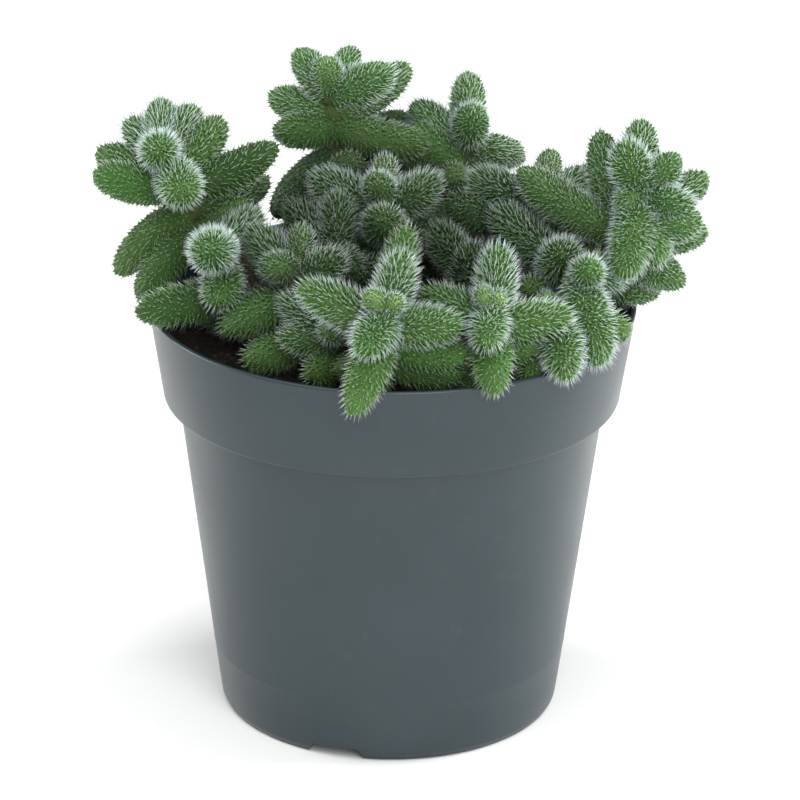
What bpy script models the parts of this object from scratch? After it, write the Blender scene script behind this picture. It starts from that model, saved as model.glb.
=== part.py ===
"""Potted pickle plant: a nursery pot filled with soil, and leafy stems of bristled leaves.

Run with: blender --background --python part.py
The origin is the middle of the pot's underside, +Z is up and the plant's front faces -Y.
Every length below is in millimetres and becomes metres where a mesh is made.
"""
import math

import bmesh
import bpy
import numpy as np
from mathutils import Vector

MM = 0.001
OBJECT_NAME = "potted_pickle_plant"

# Pot
POT_HEIGHT = 92.1
RIM_RADIUS = 52.5
COLLAR_FOOT_RADIUS = 49.2
COLLAR_FOOT_HEIGHT = 71.2
BODY_TOP_RADIUS = 46.1
BODY_LOW_RADIUS = 37.4
BODY_LOW_HEIGHT = 6.0
FOOT_RADIUS = 36.0
FOOT_INSIDE_RADIUS = 34.4
WALL = 1.2
LIP_ROUND = 0.4
STEP_ROUND = 0.5
FOOT_ROUND = (0.7, 1.3)
FLOOR_ROUND = 1.2
PAD_RADIUS = 19.0
BASE_RISE = 2.2
BASE_DRAFT = 0.6
ROUND_STEPS = 36
SHARP_ANGLE = 30.0
NOTCH_COUNT = 3
NOTCH_FIRST_ANGLE = -108.0
NOTCH_WIDTH = 14.8
NOTCH_SLANT = 2.2
NOTCH_DEPTH = 3.5
DRAIN_COUNT = 6
DRAIN_RADIUS = 2.6
DRAIN_RING_RADIUS = 27.0
DRAIN_SIDES = 8

# Soil
SOIL_TOP = 84.0
SOIL_EDGE_DROP = 1.2
SOIL_WAVE = 0.35
SOIL_WAVE_TURNS = (0.31, 0.17, 0.29, 0.23)
SOIL_RING = 38.0
SOIL_STEPS = 24
GAP = 0.3

# Stems and leaves
STEM_RADIUS = 1.5
STEM_FOOT_RADIUS = 1.9
STEM_TAPER_HEIGHT = 20.0
STEM_SIDES_RESOLUTION = 1
STEM_LINE_STEPS = 8
STEM_MESH_STEPS = 2
HOLE_REACH = 9.0
LEAF_SIDES = 6
SEEN_RING_PLACES = (-0.07, 0.18, 0.6, 0.88, 1.0)
HIDDEN_RING_PLACES = (-0.07, 0.22, 0.8, 1.0)
LEAF_ROUNDING = 1.05
LEAF_RADIUS_LIMIT = 4.0
LEAF_RADIUS_START = 1.0
LEAF_RADIUS_GROWTH = 0.19
LEAF_NECK = 0.66
LEAF_NECK_POWER = 0.7
LEAF_FULL_FROM = 0.35
LEAF_NOSE_FROM = 0.5
POINTED_NOSE_FROM = 0.3
POINTED_IN_FRONT_OF = -25.0
LEAF_NOSE_POWER = 2.1
LEAF_BOW = 0.05
HANGING = -3.0
FACING_LEAF_SHARE = 0.9

# Bristles that stand in for the many fine ones
BRISTLE_LENGTH = 1.4
BRISTLE_SHORTEST = 0.5
BRISTLE_BASE = 0.22
BRISTLE_LEAN = 0.35
BRISTLE_SPACING = 6
LEAST_FACE_SHARE = 1.2

# Fine steps of the shaping itself
LINE_STEP = 0.02
LAST_PLACE = 0.97
ROOM_PLACES = 14
POLE_RADIUS = 0.01
WELD = 1e-6
TINY = 1e-9

# Room between neighbours
LEAF_GAP = 0.6
WALL_GAP = 0.6
CLEARING_PLACES = np.array((0.12, 0.3, 0.48, 0.64, 0.8, 0.93))
CLEARING_ROUNDS = 140
CLEARING_DONE = 0.02
IN_WALL = 0.05
SWING_SHARE = 0.6
SWING_NEAREST = 0.35
SHRINK_FROM_ROUND = 30
SHRINK_FROM_DEPTH = 0.15
SHRINK_RADIUS = 0.993
SHRINK_LENGTH = 0.997
NO_ROOM = 1.4
STILL_CROWDED = 0.25

# Each stem that the front shows: its route from the soil to the growing tip, then its leaf
# pairs from the tip down. A pair is how far below the tip it grows and where its two leaves
# end. None is a leaf that faces its partner across the stem.
STEMS_IN_FRONT = {
    "leafy_stem_left_top": (
        ((-27, 4, 78), (-35, 2, 97), (-43, 0, 112), (-50, 1, 126)),
        (
            (0, (-50, 11, 133), (-50, -11, 130)),
            (2, (-57, 9, 129), (-43, 10, 132)),
            (5, (-44, -18, 123), None),
            (7, (-65, 6, 123), (-37, 6, 131)),
            (10, (-64, -5, 122), (-25, 3, 126)),
            (15, (-59, -2, 98), (-27, 10, 116)),
            (20, (-54, -9, 95), (-31, 0, 114)),
        ),
    ),
    "leafy_stem_left_front": (
        ((-24, -8, 78), (-33, -10, 94), (-37, -11, 108)),
        (
            (0, (-39, -27, 114), (-29, -3, 113)),
            (5, (-36, -25, 101), None),
            (10, (-54, -20, 96), None),
            (19, (-26, 1, 95), (-43, -2, 92)),
        ),
    ),
    "leafy_stem_left_inner": (
        ((-12, -18, 78), (-17, -18, 93), (-21, -17, 106)),
        (
            (0, (-19, -14, 114), (-27, -23, 109)),
            (3, (-11, -20, 110), (-30, -11, 112)),
            (8, (-36, -24, 95), None),
            (15, (-31, -30, 90), None),
        ),
    ),
    "leafy_stem_front_left": (
        ((-8, -22, 78), (-11, -28, 89), (-13, -32, 98)),
        (
            (0, (-23, -27, 103), (-12, -40, 101)),
            (4, (-23, -33, 97), None),
            (9, (-17, -40, 91), None),
        ),
    ),
    "leafy_stem_centre_left": (
        ((-6, -4, 78), (-9, -5, 92), (-12, -5, 105)),
        (
            (0, (-12, 0, 116), (-8, -14, 104)),
            (4, (-22, 2, 113), (1, -10, 102)),
        ),
    ),
    "leafy_stem_front": (
        ((-2, -26, 78), (-2, -37, 94), (-1, -46, 108)),
        (
            (0, (-5, -50, 113), (1, -50, 112)),
            (2, (-6, -58, 104), (2, -40, 118)),
            (5, (-19, -43, 112), (14, -49, 106)),
            (8, (-8, -61, 90), (3, -32, 121)),
            (12, (16, -46, 98), None),
            (17, (15, -43, 92), (-12, -40, 92)),
        ),
    ),
    "leafy_stem_front_right": (
        ((19, -24, 78), (20, -33, 93), (21, -42, 107)),
        (
            (0, (18, -44, 112), (22, -44, 111)),
            (2, (19, -53, 104), (22, -35, 118)),
            (6, (37, -40, 104), (6, -35, 108)),
            (9, (19, -54, 92), None),
            (14, (31, -39, 97), None),
        ),
    ),
    "leafy_stem_front_right_low": (
        ((27, -23, 78), (31, -26, 88), (34, -29, 98)),
        (
            (0, (37, -46, 92), (32, -25, 104)),
            (5, (30, -41, 92), None),
        ),
    ),
    "leafy_stem_right_low": (
        ((26, -12, 78), (34, -16, 94), (40, -18, 106)),
        (
            (0, (49, -11, 102), (42, -27, 110)),
            (3, (41, -37, 92), None),
            (10, (50, -29, 95), None),
        ),
    ),
    "leafy_stem_right_top": (
        ((32, 2, 78), (42, 0, 95), (48, -1, 108), (54, -1, 119)),
        (
            (0, (60, -4, 127), (48, -9, 117)),
            (2, (49, -5, 130), (63, -9, 117)),
            (4, (53, 7, 131), (48, -21, 106)),
            (7, (68, 3, 120), (56, -15, 107)),
            (10, (44, 8, 128), None),
            (12, (67, -4, 110), (26, 1, 121)),
            (17, (62, -7, 99), None),
            (24, (57, -3, 95), None),
        ),
    ),
    "leafy_stem_right_middle": (
        ((24, -5, 78), (30, -5, 92), (35, -4, 103)),
        (
            (0, (22, 1, 113), (38, -6, 96)),
            (2, (37, -15, 110), None),
            (4, (43, -9, 100), None),
            (8, (29, -15, 101), (39, -14, 97)),
        ),
    ),
    "leafy_stem_right_inner": (
        ((20, 4, 78), (26, 7, 97), (32, 9, 114)),
        (
            (0, (34, 13, 122), (31, 1, 112)),
            (3, (17, 8, 118), (44, 16, 116)),
            (7, (47, 12, 109), (11, 6, 112)),
        ),
    ),
    "leafy_stem_back_top": (
        ((-6, 12, 78), (-10, 18, 98), (-12, 23, 116), (-14, 24, 131)),
        (
            (0, (-15, 20, 140), (-9, 30, 139)),
            (1, (-21, 26, 141), (-1, 22, 137)),
            (5, (-27, 30, 128), (3, 30, 135)),
            (8, (-26, 18, 124), (7, 16, 122)),
            (11, (4, 33, 122), (-18, 38, 116)),
            (14, (-26, 18, 104), None),
        ),
    ),
    "leafy_stem_back_right": (
        ((10, 12, 78), (13, 19, 98), (16, 25, 121)),
        (
            (0, (16, 31, 133), (17, 15, 130)),
            (3, (4, 30, 126), (28, 26, 115)),
            (7, (3, 22, 123), None),
            (9, (12, 12, 116), None),
            (12, (1, 21, 117), (27, 23, 109)),
            (16, (4, 12, 106), (27, 26, 102)),
        ),
    ),
    "leafy_stem_centre": (
        ((2, 2, 78), (0, 4, 98), (-2, 4, 114)),
        (
            (0, (-2, 8, 122), (-4, -3, 121)),
            (3, (9, 3, 119), (-17, 6, 118)),
            (6, (-3, -13, 115), None),
            (9, (18, 6, 102), None),
        ),
    ),
    "leafy_stem_middle": (
        ((9, -6, 78), (13, -6, 90), (17, -4, 100)),
        (
            (0, (9, -3, 110), (20, -14, 103)),
            (4, (22, 4, 104), None),
        ),
    ),
}

# Each low stem that other leaves hide from the front: its route, and the turn of its first
# pair of leaves in degrees.
LOW_STEMS = {
    "leafy_stem_low_back_left": (((-20, 16, 78), (-27, 25, 88), (-33, 31, 97)), 20),
    "leafy_stem_low_back": (((-1, 24, 78), (-1, 34, 90), (-2, 41, 102)), 0),
    "leafy_stem_low_back_right": (((24, 18, 78), (31, 26, 89), (37, 31, 101)), 60),
    "leafy_stem_low_left": (((-29, 11, 78), (-31, 14, 89), (-34, 18, 101)), 40),
    "leafy_stem_low_centre": (((9, -16, 78), (10, -18, 88), (11, -20, 96)), 30),
    "leafy_stem_low_right": (((36, 9, 78), (40, 12, 89), (44, 15, 101)), 75),
    "leafy_stem_low_back_inner": (((16, 30, 78), (17, 34, 88), (18, 39, 98)), 45),
}

# The pairs that the front hides: each is a quarter-turn from the one above, longer and
# wider open, down to the soil.
PAIR_OPENING_START = 25
PAIR_OPENING_STEP = 17
PAIR_OPENING_LIMIT = 85
PAIR_LENGTH_START = 7
PAIR_LENGTH_STEP = 3
PAIR_LENGTH_LIMIT = 15
PAIR_SPACING_START = 2.5
PAIR_SPACING_STEP = 0.8
FIRST_HIDDEN_PAIR = 3
TIP_SINK = 1.2
LOWEST_ROOT = SOIL_TOP + 3.0


def unit(vector):
    return vector / np.linalg.norm(vector)


def smooth_route(route, steps):
    """Points along one smooth curve through the route's own points."""
    points = [np.array(place, float) for place in route]
    points = [2 * points[0] - points[1]] + points + [2 * points[-1] - points[-2]]
    line = []
    for a, b, c, d in zip(points, points[1:], points[2:], points[3:]):
        for step in range(steps):
            t = step / steps
            bend = (2 * a - 5 * b + 4 * c - d) * t * t + (3 * b - a - 3 * c + d) * t ** 3
            line.append(0.5 * (2 * b + (c - a) * t + bend))
    line.append(points[-2])
    return np.array(line)


def stem_routes():
    return {stem: entry[0] for stem, entry in (STEMS_IN_FRONT | LOW_STEMS).items()}


def below_tip(line, down):
    """The place on a stem at a distance below its tip, and which way the stem grows there."""
    for upper, lower in zip(line[::-1], line[-2::-1]):
        reach = np.linalg.norm(lower - upper)
        if down <= reach:
            return upper + (lower - upper) * down / reach, unit(upper - lower)
        down -= reach
    return line[0], unit(line[1] - line[0])


def leaf_radius(length):
    return min(LEAF_RADIUS_LIMIT, LEAF_RADIUS_START + LEAF_RADIUS_GROWTH * length)


def leaf_outline(t, nose):
    """How wide a leaf is along its length, as a share of its full radius. The nose is where it
    starts to narrow to its tip."""
    neck = LEAF_NECK + (1 - LEAF_NECK) * np.clip(t / LEAF_FULL_FROM, 0, 1) ** LEAF_NECK_POWER
    along_nose = np.clip((t - nose) / (1 - nose), 0, 1)
    return neck * np.sqrt(1 - along_nose ** LEAF_NOSE_POWER)


def leaf_line(leaf, t):
    """Points on a leaf's middle line: a hanging leaf arches over, a rising one cups up."""
    reach = leaf["reach"]
    length = np.linalg.norm(reach)
    along = reach / length
    lift = leaf["grows"] - along * np.dot(leaf["grows"], along)
    side = 1 if reach[2] < HANGING else -1
    bow = side * LEAF_BOW * length * 4 * t * (1 - t)
    return leaf["root"] + np.outer(t, reach) + np.outer(bow, lift)


def new_leaf(stem, root, grows, reach, seen):
    radius = leaf_radius(np.linalg.norm(reach))
    nose = POINTED_NOSE_FROM if root[1] < POINTED_IN_FRONT_OF else LEAF_NOSE_FROM
    return {
        "stem": stem, "root": root, "grows": grows, "reach": reach, "radius": radius,
        "nose": nose, "seen": seen}


def hidden_pairs(stem, line, down, outward, pair):
    """Leaves by rule from a place on the stem down to the soil."""
    leaves = []
    root, grows = below_tip(line, down)
    while root[2] > LOWEST_ROOT:
        outward = unit(outward - np.dot(outward, grows) * grows)
        opening = math.radians(min(PAIR_OPENING_START + PAIR_OPENING_STEP * pair, PAIR_OPENING_LIMIT))
        length = min(PAIR_LENGTH_START + PAIR_LENGTH_STEP * pair, PAIR_LENGTH_LIMIT)
        for side in (1, -1):
            reach = length * (math.cos(opening) * grows + side * math.sin(opening) * outward)
            leaves.append(new_leaf(stem, root, grows, reach, False))
        outward = np.cross(grows, outward)
        down += PAIR_SPACING_START + PAIR_SPACING_STEP * pair
        pair += 1
        root, grows = below_tip(line, down)
    return leaves


def front_stem_leaves(stem, route, pairs):
    """The leaves that the front shows on one stem, then the hidden pairs under them."""
    line = smooth_route(route, STEM_LINE_STEPS)
    leaves = []
    for down, first, second in pairs:
        root, grows = below_tip(line, down)
        reach = np.array(first, float) - root
        leaves.append(new_leaf(stem, root, grows, reach, True))
        if second is None:
            facing = FACING_LEAF_SHARE * (2 * np.dot(reach, grows) * grows - reach)
            leaves.append(new_leaf(stem, root, grows, facing, False))
        else:
            leaves.append(new_leaf(stem, root, grows, np.array(second, float) - root, True))
    down += PAIR_SPACING_START + PAIR_SPACING_STEP * FIRST_HIDDEN_PAIR
    return leaves + hidden_pairs(stem, line, down, np.cross(grows, reach), FIRST_HIDDEN_PAIR)


def low_stem_leaves(stem, route, first_turn):
    line = smooth_route(route, STEM_LINE_STEPS)
    grows = unit(line[-1] - line[-2])
    level = unit(np.cross(grows, (0.0, 0.0, 1.0)))
    turn = math.radians(first_turn)
    outward = math.cos(turn) * level + math.sin(turn) * np.cross(level, grows)
    return hidden_pairs(stem, line, TIP_SINK, outward, 0)


def all_leaves():
    leaves = []
    for stem, (route, pairs) in STEMS_IN_FRONT.items():
        leaves += front_stem_leaves(stem, route, pairs)
    for stem, (route, first_turn) in LOW_STEMS.items():
        leaves += low_stem_leaves(stem, route, first_turn)
    return leaves


def stem_lines():
    """Every stem's points above the soil, with the stem's name beside each."""
    names = []
    points = []
    for stem, route in stem_routes().items():
        for point in smooth_route(route, STEM_LINE_STEPS):
            if point[2] > SOIL_TOP - 1:
                names.append(stem)
                points.append(point)
    return np.array(names), np.array(points)


def deepest(offsets, distances, overlaps):
    """For each point the way out of the neighbour that it is deepest in, and how deep."""
    rows = np.arange(len(overlaps))
    worst = overlaps.argmax(1)
    depth = np.clip(overlaps[rows, worst], 0, None)
    away = offsets[rows, worst] / distances[rows, worst][:, None]
    return away * depth[:, None], depth


def crowding(leaves, stem_names, stem_points):
    """How far each leaf's points must move to stand clear, and how deep they are."""
    centres = np.concatenate([leaf_line(leaf, CLEARING_PLACES) for leaf in leaves])
    radii = np.concatenate([leaf["radius"] * leaf_outline(CLEARING_PLACES, leaf["nose"]) for leaf in leaves])
    owners = np.repeat([leaf["stem"] for leaf in leaves], len(CLEARING_PLACES))

    offsets = centres[:, None] - centres[None]
    distances = np.linalg.norm(offsets, axis=2) + TINY
    overlaps = radii[:, None] + radii[None] + LEAF_GAP - distances
    overlaps[owners[:, None] == owners[None]] = 0
    move, depth = deepest(offsets, distances, overlaps)
    options = [(move / 2, depth)]

    offsets = centres[:, None] - stem_points[None]
    distances = np.linalg.norm(offsets, axis=2) + TINY
    overlaps = radii[:, None] + STEM_RADIUS + LEAF_GAP - distances
    overlaps[owners[:, None] == stem_names[None]] = 0
    options.append(deepest(offsets, distances, overlaps))

    out = np.hypot(centres[:, 0], centres[:, 1])
    wall_out = out - np.clip(out, RIM_RADIUS - WALL, RIM_RADIUS)
    wall_up = centres[:, 2] - np.minimum(centres[:, 2], POT_HEIGHT)
    distance = np.hypot(wall_out, wall_up)
    in_wall = distance < IN_WALL
    wall_up[in_wall] = 1
    wall_out[in_wall] = 0
    distance[in_wall] = 1
    depth = np.clip(radii + WALL_GAP - distance, 0, None)
    depth[in_wall] = radii[in_wall] + WALL_GAP
    away = np.column_stack((centres[:, :2] / out[:, None] * wall_out[:, None], wall_up)) / distance[:, None]
    options.append((away * depth[:, None], depth))

    depth = np.where(out < RIM_RADIUS - WALL, SOIL_TOP + GAP + radii - centres[:, 2], 0).clip(0, None)
    options.append((np.outer(depth, (0, 0, 1)), depth))

    worst = np.argmax([depth for _, depth in options], axis=0)
    rows = np.arange(len(worst))
    move = np.array([move for move, _ in options])[worst, rows]
    depth = np.array([depth for _, depth in options])[worst, rows]
    shape = (len(leaves), len(CLEARING_PLACES))
    return move.reshape(*shape, 3), depth.reshape(shape)


def swing_clear(leaf, move, depth, shrink):
    """Turn a leaf on its root away from what it is deepest in."""
    place = depth.argmax()
    if depth[place] < CLEARING_DONE:
        return
    length = np.linalg.norm(leaf["reach"])
    swing = SWING_SHARE * move[place] / max(CLEARING_PLACES[place], SWING_NEAREST)
    if shrink and depth[place] > SHRINK_FROM_DEPTH:
        leaf["radius"] *= SHRINK_RADIUS
        length *= SHRINK_LENGTH
    leaf["reach"] = length * unit(leaf["reach"] + swing)


def without_crowded(leaves, stem_names, stem_points, limit):
    """Leave out the hidden leaves that are deeper than the limit in a neighbour."""
    depth = crowding(leaves, stem_names, stem_points)[1].max(1)
    return [leaf for leaf, deep in zip(leaves, depth) if leaf["seen"] or deep < limit]


def cleared_leaves():
    """All leaves, swung on their roots until none crosses another stem, the rim or the soil."""
    stem_names, stem_points = stem_lines()
    leaves = without_crowded(all_leaves(), stem_names, stem_points, NO_ROOM)
    for turn in range(CLEARING_ROUNDS):
        moves, depths = crowding(leaves, stem_names, stem_points)
        if depths.max() < CLEARING_DONE:
            break
        for leaf, move, depth in zip(leaves, moves, depths):
            swing_clear(leaf, move, depth, turn > SHRINK_FROM_ROUND)
    return without_crowded(leaves, stem_names, stem_points, STILL_CROWDED)


def remove_everything():
    for thing in list(bpy.data.objects):
        bpy.data.objects.remove(thing, do_unlink=True)


def new_collection(name):
    collection = bpy.data.collections.new(name)
    bpy.context.scene.collection.children.link(collection)
    return collection


def new_object(name, mesh, collection):
    thing = bpy.data.objects.new(name, mesh)
    collection.objects.link(thing)
    return thing


def plain_material(name, colour, roughness):
    material = bpy.data.materials.new(name)
    material.use_nodes = True
    shader = material.node_tree.nodes["Principled BSDF"]
    shader.inputs["Base Color"].default_value = (*colour, 1.0)
    shader.inputs["Roughness"].default_value = roughness
    shader.inputs["Metallic"].default_value = 0.0
    return material


def evaluated_mesh(thing):
    bpy.context.view_layer.update()
    return bpy.data.meshes.new_from_object(thing.evaluated_get(bpy.context.evaluated_depsgraph_get()))


def turned_solid(name, profile, steps, collection):
    """A closed solid turned about Z from (radius, height) points that start and end on it."""
    mesh = bpy.data.meshes.new(name)
    points = [(radius * MM, 0.0, height * MM) for radius, height in profile]
    mesh.from_pydata(points, [(i, i + 1) for i in range(len(points) - 1)], [])
    thing = new_object(name, mesh, collection)
    screw = thing.modifiers.new("turned", "SCREW")
    screw.steps = steps
    screw.render_steps = steps
    screw.use_merge_vertices = True
    screw.merge_threshold = WELD
    return thing


def apply_modifiers(thing):
    mesh = evaluated_mesh(thing)
    thing.modifiers.clear()
    thing.data = mesh


def collar_inside(height):
    """The pot's inner radius beside the collar, above its step."""
    share = (height - COLLAR_FOOT_HEIGHT) / (POT_HEIGHT - COLLAR_FOOT_HEIGHT)
    return COLLAR_FOOT_RADIUS + share * (RIM_RADIUS - COLLAR_FOOT_RADIUS) - WALL


def pot_inside():
    """The inner face of the pot from the axis, along the floor and up to the step."""
    floor = BASE_RISE + WALL
    return (
        (0.0, WALL),
        (PAD_RADIUS, WALL),
        (PAD_RADIUS + BASE_RISE, floor),
        (BODY_LOW_RADIUS - WALL - FLOOR_ROUND, floor),
        (BODY_LOW_RADIUS - WALL, BODY_LOW_HEIGHT),
        (BODY_TOP_RADIUS - WALL, COLLAR_FOOT_HEIGHT + WALL),
        (collar_inside(COLLAR_FOOT_HEIGHT + 2 * WALL), COLLAR_FOOT_HEIGHT + 2 * WALL),
    )


def pot_profile():
    """The pot from the axis over its inner face, the rim and its outer face to the underside."""
    outside = (
        (RIM_RADIUS - WALL, POT_HEIGHT),
        (RIM_RADIUS - LIP_ROUND, POT_HEIGHT),
        (RIM_RADIUS, POT_HEIGHT - LIP_ROUND),
        (COLLAR_FOOT_RADIUS, COLLAR_FOOT_HEIGHT + STEP_ROUND),
        (COLLAR_FOOT_RADIUS - STEP_ROUND, COLLAR_FOOT_HEIGHT),
        (BODY_TOP_RADIUS, COLLAR_FOOT_HEIGHT),
        (BODY_LOW_RADIUS, BODY_LOW_HEIGHT),
        (FOOT_RADIUS + FOOT_ROUND[0], FOOT_ROUND[1]),
        (FOOT_RADIUS, 0.0),
        (FOOT_INSIDE_RADIUS, 0.0),
        (FOOT_INSIDE_RADIUS, BASE_RISE),
        (PAD_RADIUS + BASE_RISE - BASE_DRAFT, BASE_RISE),
        (PAD_RADIUS - BASE_DRAFT, 0.0),
        (0.0, 0.0),
    )
    return pot_inside() + outside


def notch_cutter(angle, cutters):
    """A low slot through the foot ring, wider at the standing face than at its top."""
    mesh = bpy.data.meshes.new("notch_cutter")
    bm = bmesh.new()
    bmesh.ops.create_cube(bm, size=1.0)
    for vert in bm.verts:
        half = NOTCH_WIDTH / 2 - (NOTCH_SLANT if vert.co.z > 0 else 0.0)
        vert.co.y = math.copysign(half, vert.co.y) * MM
        vert.co.x = (FOOT_RADIUS + math.copysign(NOTCH_DEPTH, vert.co.x)) * MM
        vert.co.z = (BASE_RISE if vert.co.z > 0 else -BASE_RISE) * MM
    bm.to_mesh(mesh)
    bm.free()
    cutter = new_object("notch_cutter", mesh, cutters)
    cutter.rotation_euler.z = angle
    return cutter


def drain_cutter(angle, cutters):
    mesh = bpy.data.meshes.new("drain_cutter")
    bm = bmesh.new()
    bmesh.ops.create_cone(
        bm, cap_ends=True, segments=DRAIN_SIDES, radius1=DRAIN_RADIUS * MM, radius2=DRAIN_RADIUS * MM,
        depth=4 * WALL * MM)
    bm.to_mesh(mesh)
    bm.free()
    cutter = new_object("drain_cutter", mesh, cutters)
    x = DRAIN_RING_RADIUS * math.cos(angle)
    y = DRAIN_RING_RADIUS * math.sin(angle)
    cutter.location = Vector((x, y, BASE_RISE + WALL / 2)) * MM
    return cutter


def add_cut(thing, cutter):
    cutter.hide_render = True
    cutter.display_type = "WIRE"
    cut = thing.modifiers.new("cut", "BOOLEAN")
    cut.operation = "DIFFERENCE"
    cut.solver = "EXACT"
    cut.object = cutter


def shade_round(thing):
    thing.data.shade_smooth()
    thing.data.set_sharp_from_angle(angle=math.radians(SHARP_ANGLE))


def make_pot(parts, cutters):
    pot = turned_solid("pot", pot_profile(), ROUND_STEPS, parts)
    for index in range(NOTCH_COUNT):
        angle = math.radians(NOTCH_FIRST_ANGLE + index * 360 / NOTCH_COUNT)
        add_cut(pot, notch_cutter(angle, cutters))
    for index in range(DRAIN_COUNT):
        add_cut(pot, drain_cutter(math.radians((index + 0.5) * 360 / DRAIN_COUNT), cutters))
    apply_modifiers(pot)
    return pot


def soil_profile():
    sides = [(radius - GAP, height + GAP) for radius, height in pot_inside()[3:]]
    edge = SOIL_TOP - SOIL_EDGE_DROP
    top = [(collar_inside(edge) - GAP, edge), (SOIL_RING, SOIL_TOP), (0.0, SOIL_TOP)]
    return [(0.0, sides[0][1])] + sides + top


def stem_radius_at(height):
    share = min(max((height - SOIL_TOP) / STEM_TAPER_HEIGHT, 0.0), 1.0)
    return STEM_FOOT_RADIUS + share * (STEM_RADIUS - STEM_FOOT_RADIUS)


def stem_mesh(route, spare, collection):
    """A stem as a tube along its route. Spare widens it and sinks its foot, for its hole."""
    curve = bpy.data.curves.new("stem", "CURVE")
    curve.dimensions = "3D"
    curve.bevel_depth = MM
    curve.bevel_resolution = STEM_SIDES_RESOLUTION
    curve.use_fill_caps = True
    points = smooth_route(route, STEM_MESH_STEPS)
    if spare:
        points[0] -= spare * unit(points[1] - points[0])
        points = points[points[:, 2] < SOIL_TOP + HOLE_REACH]
    spline = curve.splines.new("POLY")
    spline.points.add(len(points) - 1)
    for point, place in zip(spline.points, points):
        point.co = (*(place * MM), 1.0)
        point.radius = stem_radius_at(place[2]) + spare
    thing = new_object("stem", curve, collection)
    mesh = evaluated_mesh(thing)
    bpy.data.objects.remove(thing, do_unlink=True)
    bm = bmesh.new()
    bm.from_mesh(mesh)
    bmesh.ops.remove_doubles(bm, verts=bm.verts, dist=WELD)
    bm.to_mesh(mesh)
    bm.free()
    return mesh


def make_soil(parts, cutters):
    """The soil with its slightly uneven top and a plain hole for every stem."""
    soil = turned_solid("soil", soil_profile(), SOIL_STEPS, parts)
    apply_modifiers(soil)
    a, b, c, d = SOIL_WAVE_TURNS
    for vert in soil.data.vertices:
        x, y, z = vert.co / MM
        if z > SOIL_TOP - SOIL_EDGE_DROP / 2:
            vert.co.z += SOIL_WAVE * (math.sin(a * x + b * y) + math.cos(d * y - c * x)) * MM
    for route in stem_routes().values():
        add_cut(soil, new_object("stem_hole_cutter", stem_mesh(route, GAP, cutters), cutters))
    apply_modifiers(soil)
    return soil


def ring_places(leaf):
    return SEEN_RING_PLACES if leaf["seen"] else HIDDEN_RING_PLACES


def leaf_frame(leaf, t):
    """The middle line's point at t, with two directions across the leaf there."""
    point, ahead = leaf_line(leaf, np.array((t, t + LINE_STEP)))
    along = unit(ahead - point)
    side = unit(np.cross(along, leaf["grows"]))
    return point, along, side, np.cross(side, along)


def leaf_bmesh(leaf):
    """A leaf shaped from a coarse ball: its rings are spread along the leaf's middle line."""
    bm = bmesh.new()
    places = ring_places(leaf)
    rings = len(places) - 1
    bmesh.ops.create_uvsphere(bm, u_segments=LEAF_SIDES, v_segments=rings, radius=1.0)
    ring_shares = np.linspace(0, 1, rings + 1)
    for vert in bm.verts:
        share = 1 - math.acos(max(-1.0, min(1.0, vert.co.z))) / math.pi
        t = float(np.interp(share, ring_shares, places))
        point, _, side, up = leaf_frame(leaf, t)
        turn = math.atan2(vert.co.y, vert.co.x)
        width = leaf["radius"] * LEAF_ROUNDING * float(leaf_outline(t, leaf["nose"]))
        if vert.co.x ** 2 + vert.co.y ** 2 < POLE_RADIUS ** 2:
            width = 0.0
        vert.co = Vector((point + width * (math.cos(turn) * side + math.sin(turn) * up)) * MM)
    bmesh.ops.triangulate(bm, faces=bm.faces)
    bmesh.ops.recalc_face_normals(bm, faces=bm.faces)
    return bm


def room_around(points, leaf, leaves, stem_names, stem_points):
    """Clear distance from each point to what it may not reach: others, the wall and the soil."""
    places = np.linspace(0, LAST_PLACE, ROOM_PLACES)
    room = np.full(len(points), np.inf)
    for other in leaves:
        if other is leaf:
            continue
        gaps = np.linalg.norm(points[:, None] - leaf_line(other, places)[None], axis=2)
        gaps -= other["radius"] * LEAF_ROUNDING * leaf_outline(places, other["nose"])
        limit = gaps.min(1)
        if other["stem"] != leaf["stem"]:
            limit = limit / 2
        room = np.minimum(room, limit)
    strange = stem_names != leaf["stem"]
    gaps = np.linalg.norm(points[:, None] - stem_points[strange][None], axis=2) - STEM_FOOT_RADIUS
    room = np.minimum(room, gaps.min(1))
    out = np.hypot(points[:, 0], points[:, 1])
    wall_out = out - np.clip(out, RIM_RADIUS - WALL, RIM_RADIUS)
    wall_up = np.clip(points[:, 2] - POT_HEIGHT, 0, None)
    room = np.minimum(room, np.hypot(wall_out, wall_up))
    above_soil = np.where(out < RIM_RADIUS, points[:, 2] - SOIL_TOP - 2 * SOIL_WAVE, np.inf)
    return np.minimum(room, above_soil)


def bristle_faces(bm, leaf):
    """Faces spread evenly round the leaf and along it, each with its middle and direction."""
    bands = np.array(ring_places(leaf)[1:])
    foremost = {}
    for face in bm.faces:
        middle = np.array(face.calc_center_median()) / MM
        share = np.dot(middle - leaf["root"], leaf["reach"]) / np.dot(leaf["reach"], leaf["reach"])
        band = int(np.searchsorted(bands, share))
        point, along, across, up = leaf_frame(leaf, min(max(share, 0.0), LAST_PLACE))
        turn = math.atan2(np.dot(middle - point, up), np.dot(middle - point, across))
        side = math.floor(turn / math.tau * LEAF_SIDES) % LEAF_SIDES
        if band == 0 or (side + 2 * band) % BRISTLE_SPACING:
            continue
        if (band, side) not in foremost or share > foremost[band, side][0]:
            foremost[band, side] = (share, face, middle, along)
    return [entry[1:] for entry in foremost.values()]


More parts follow.
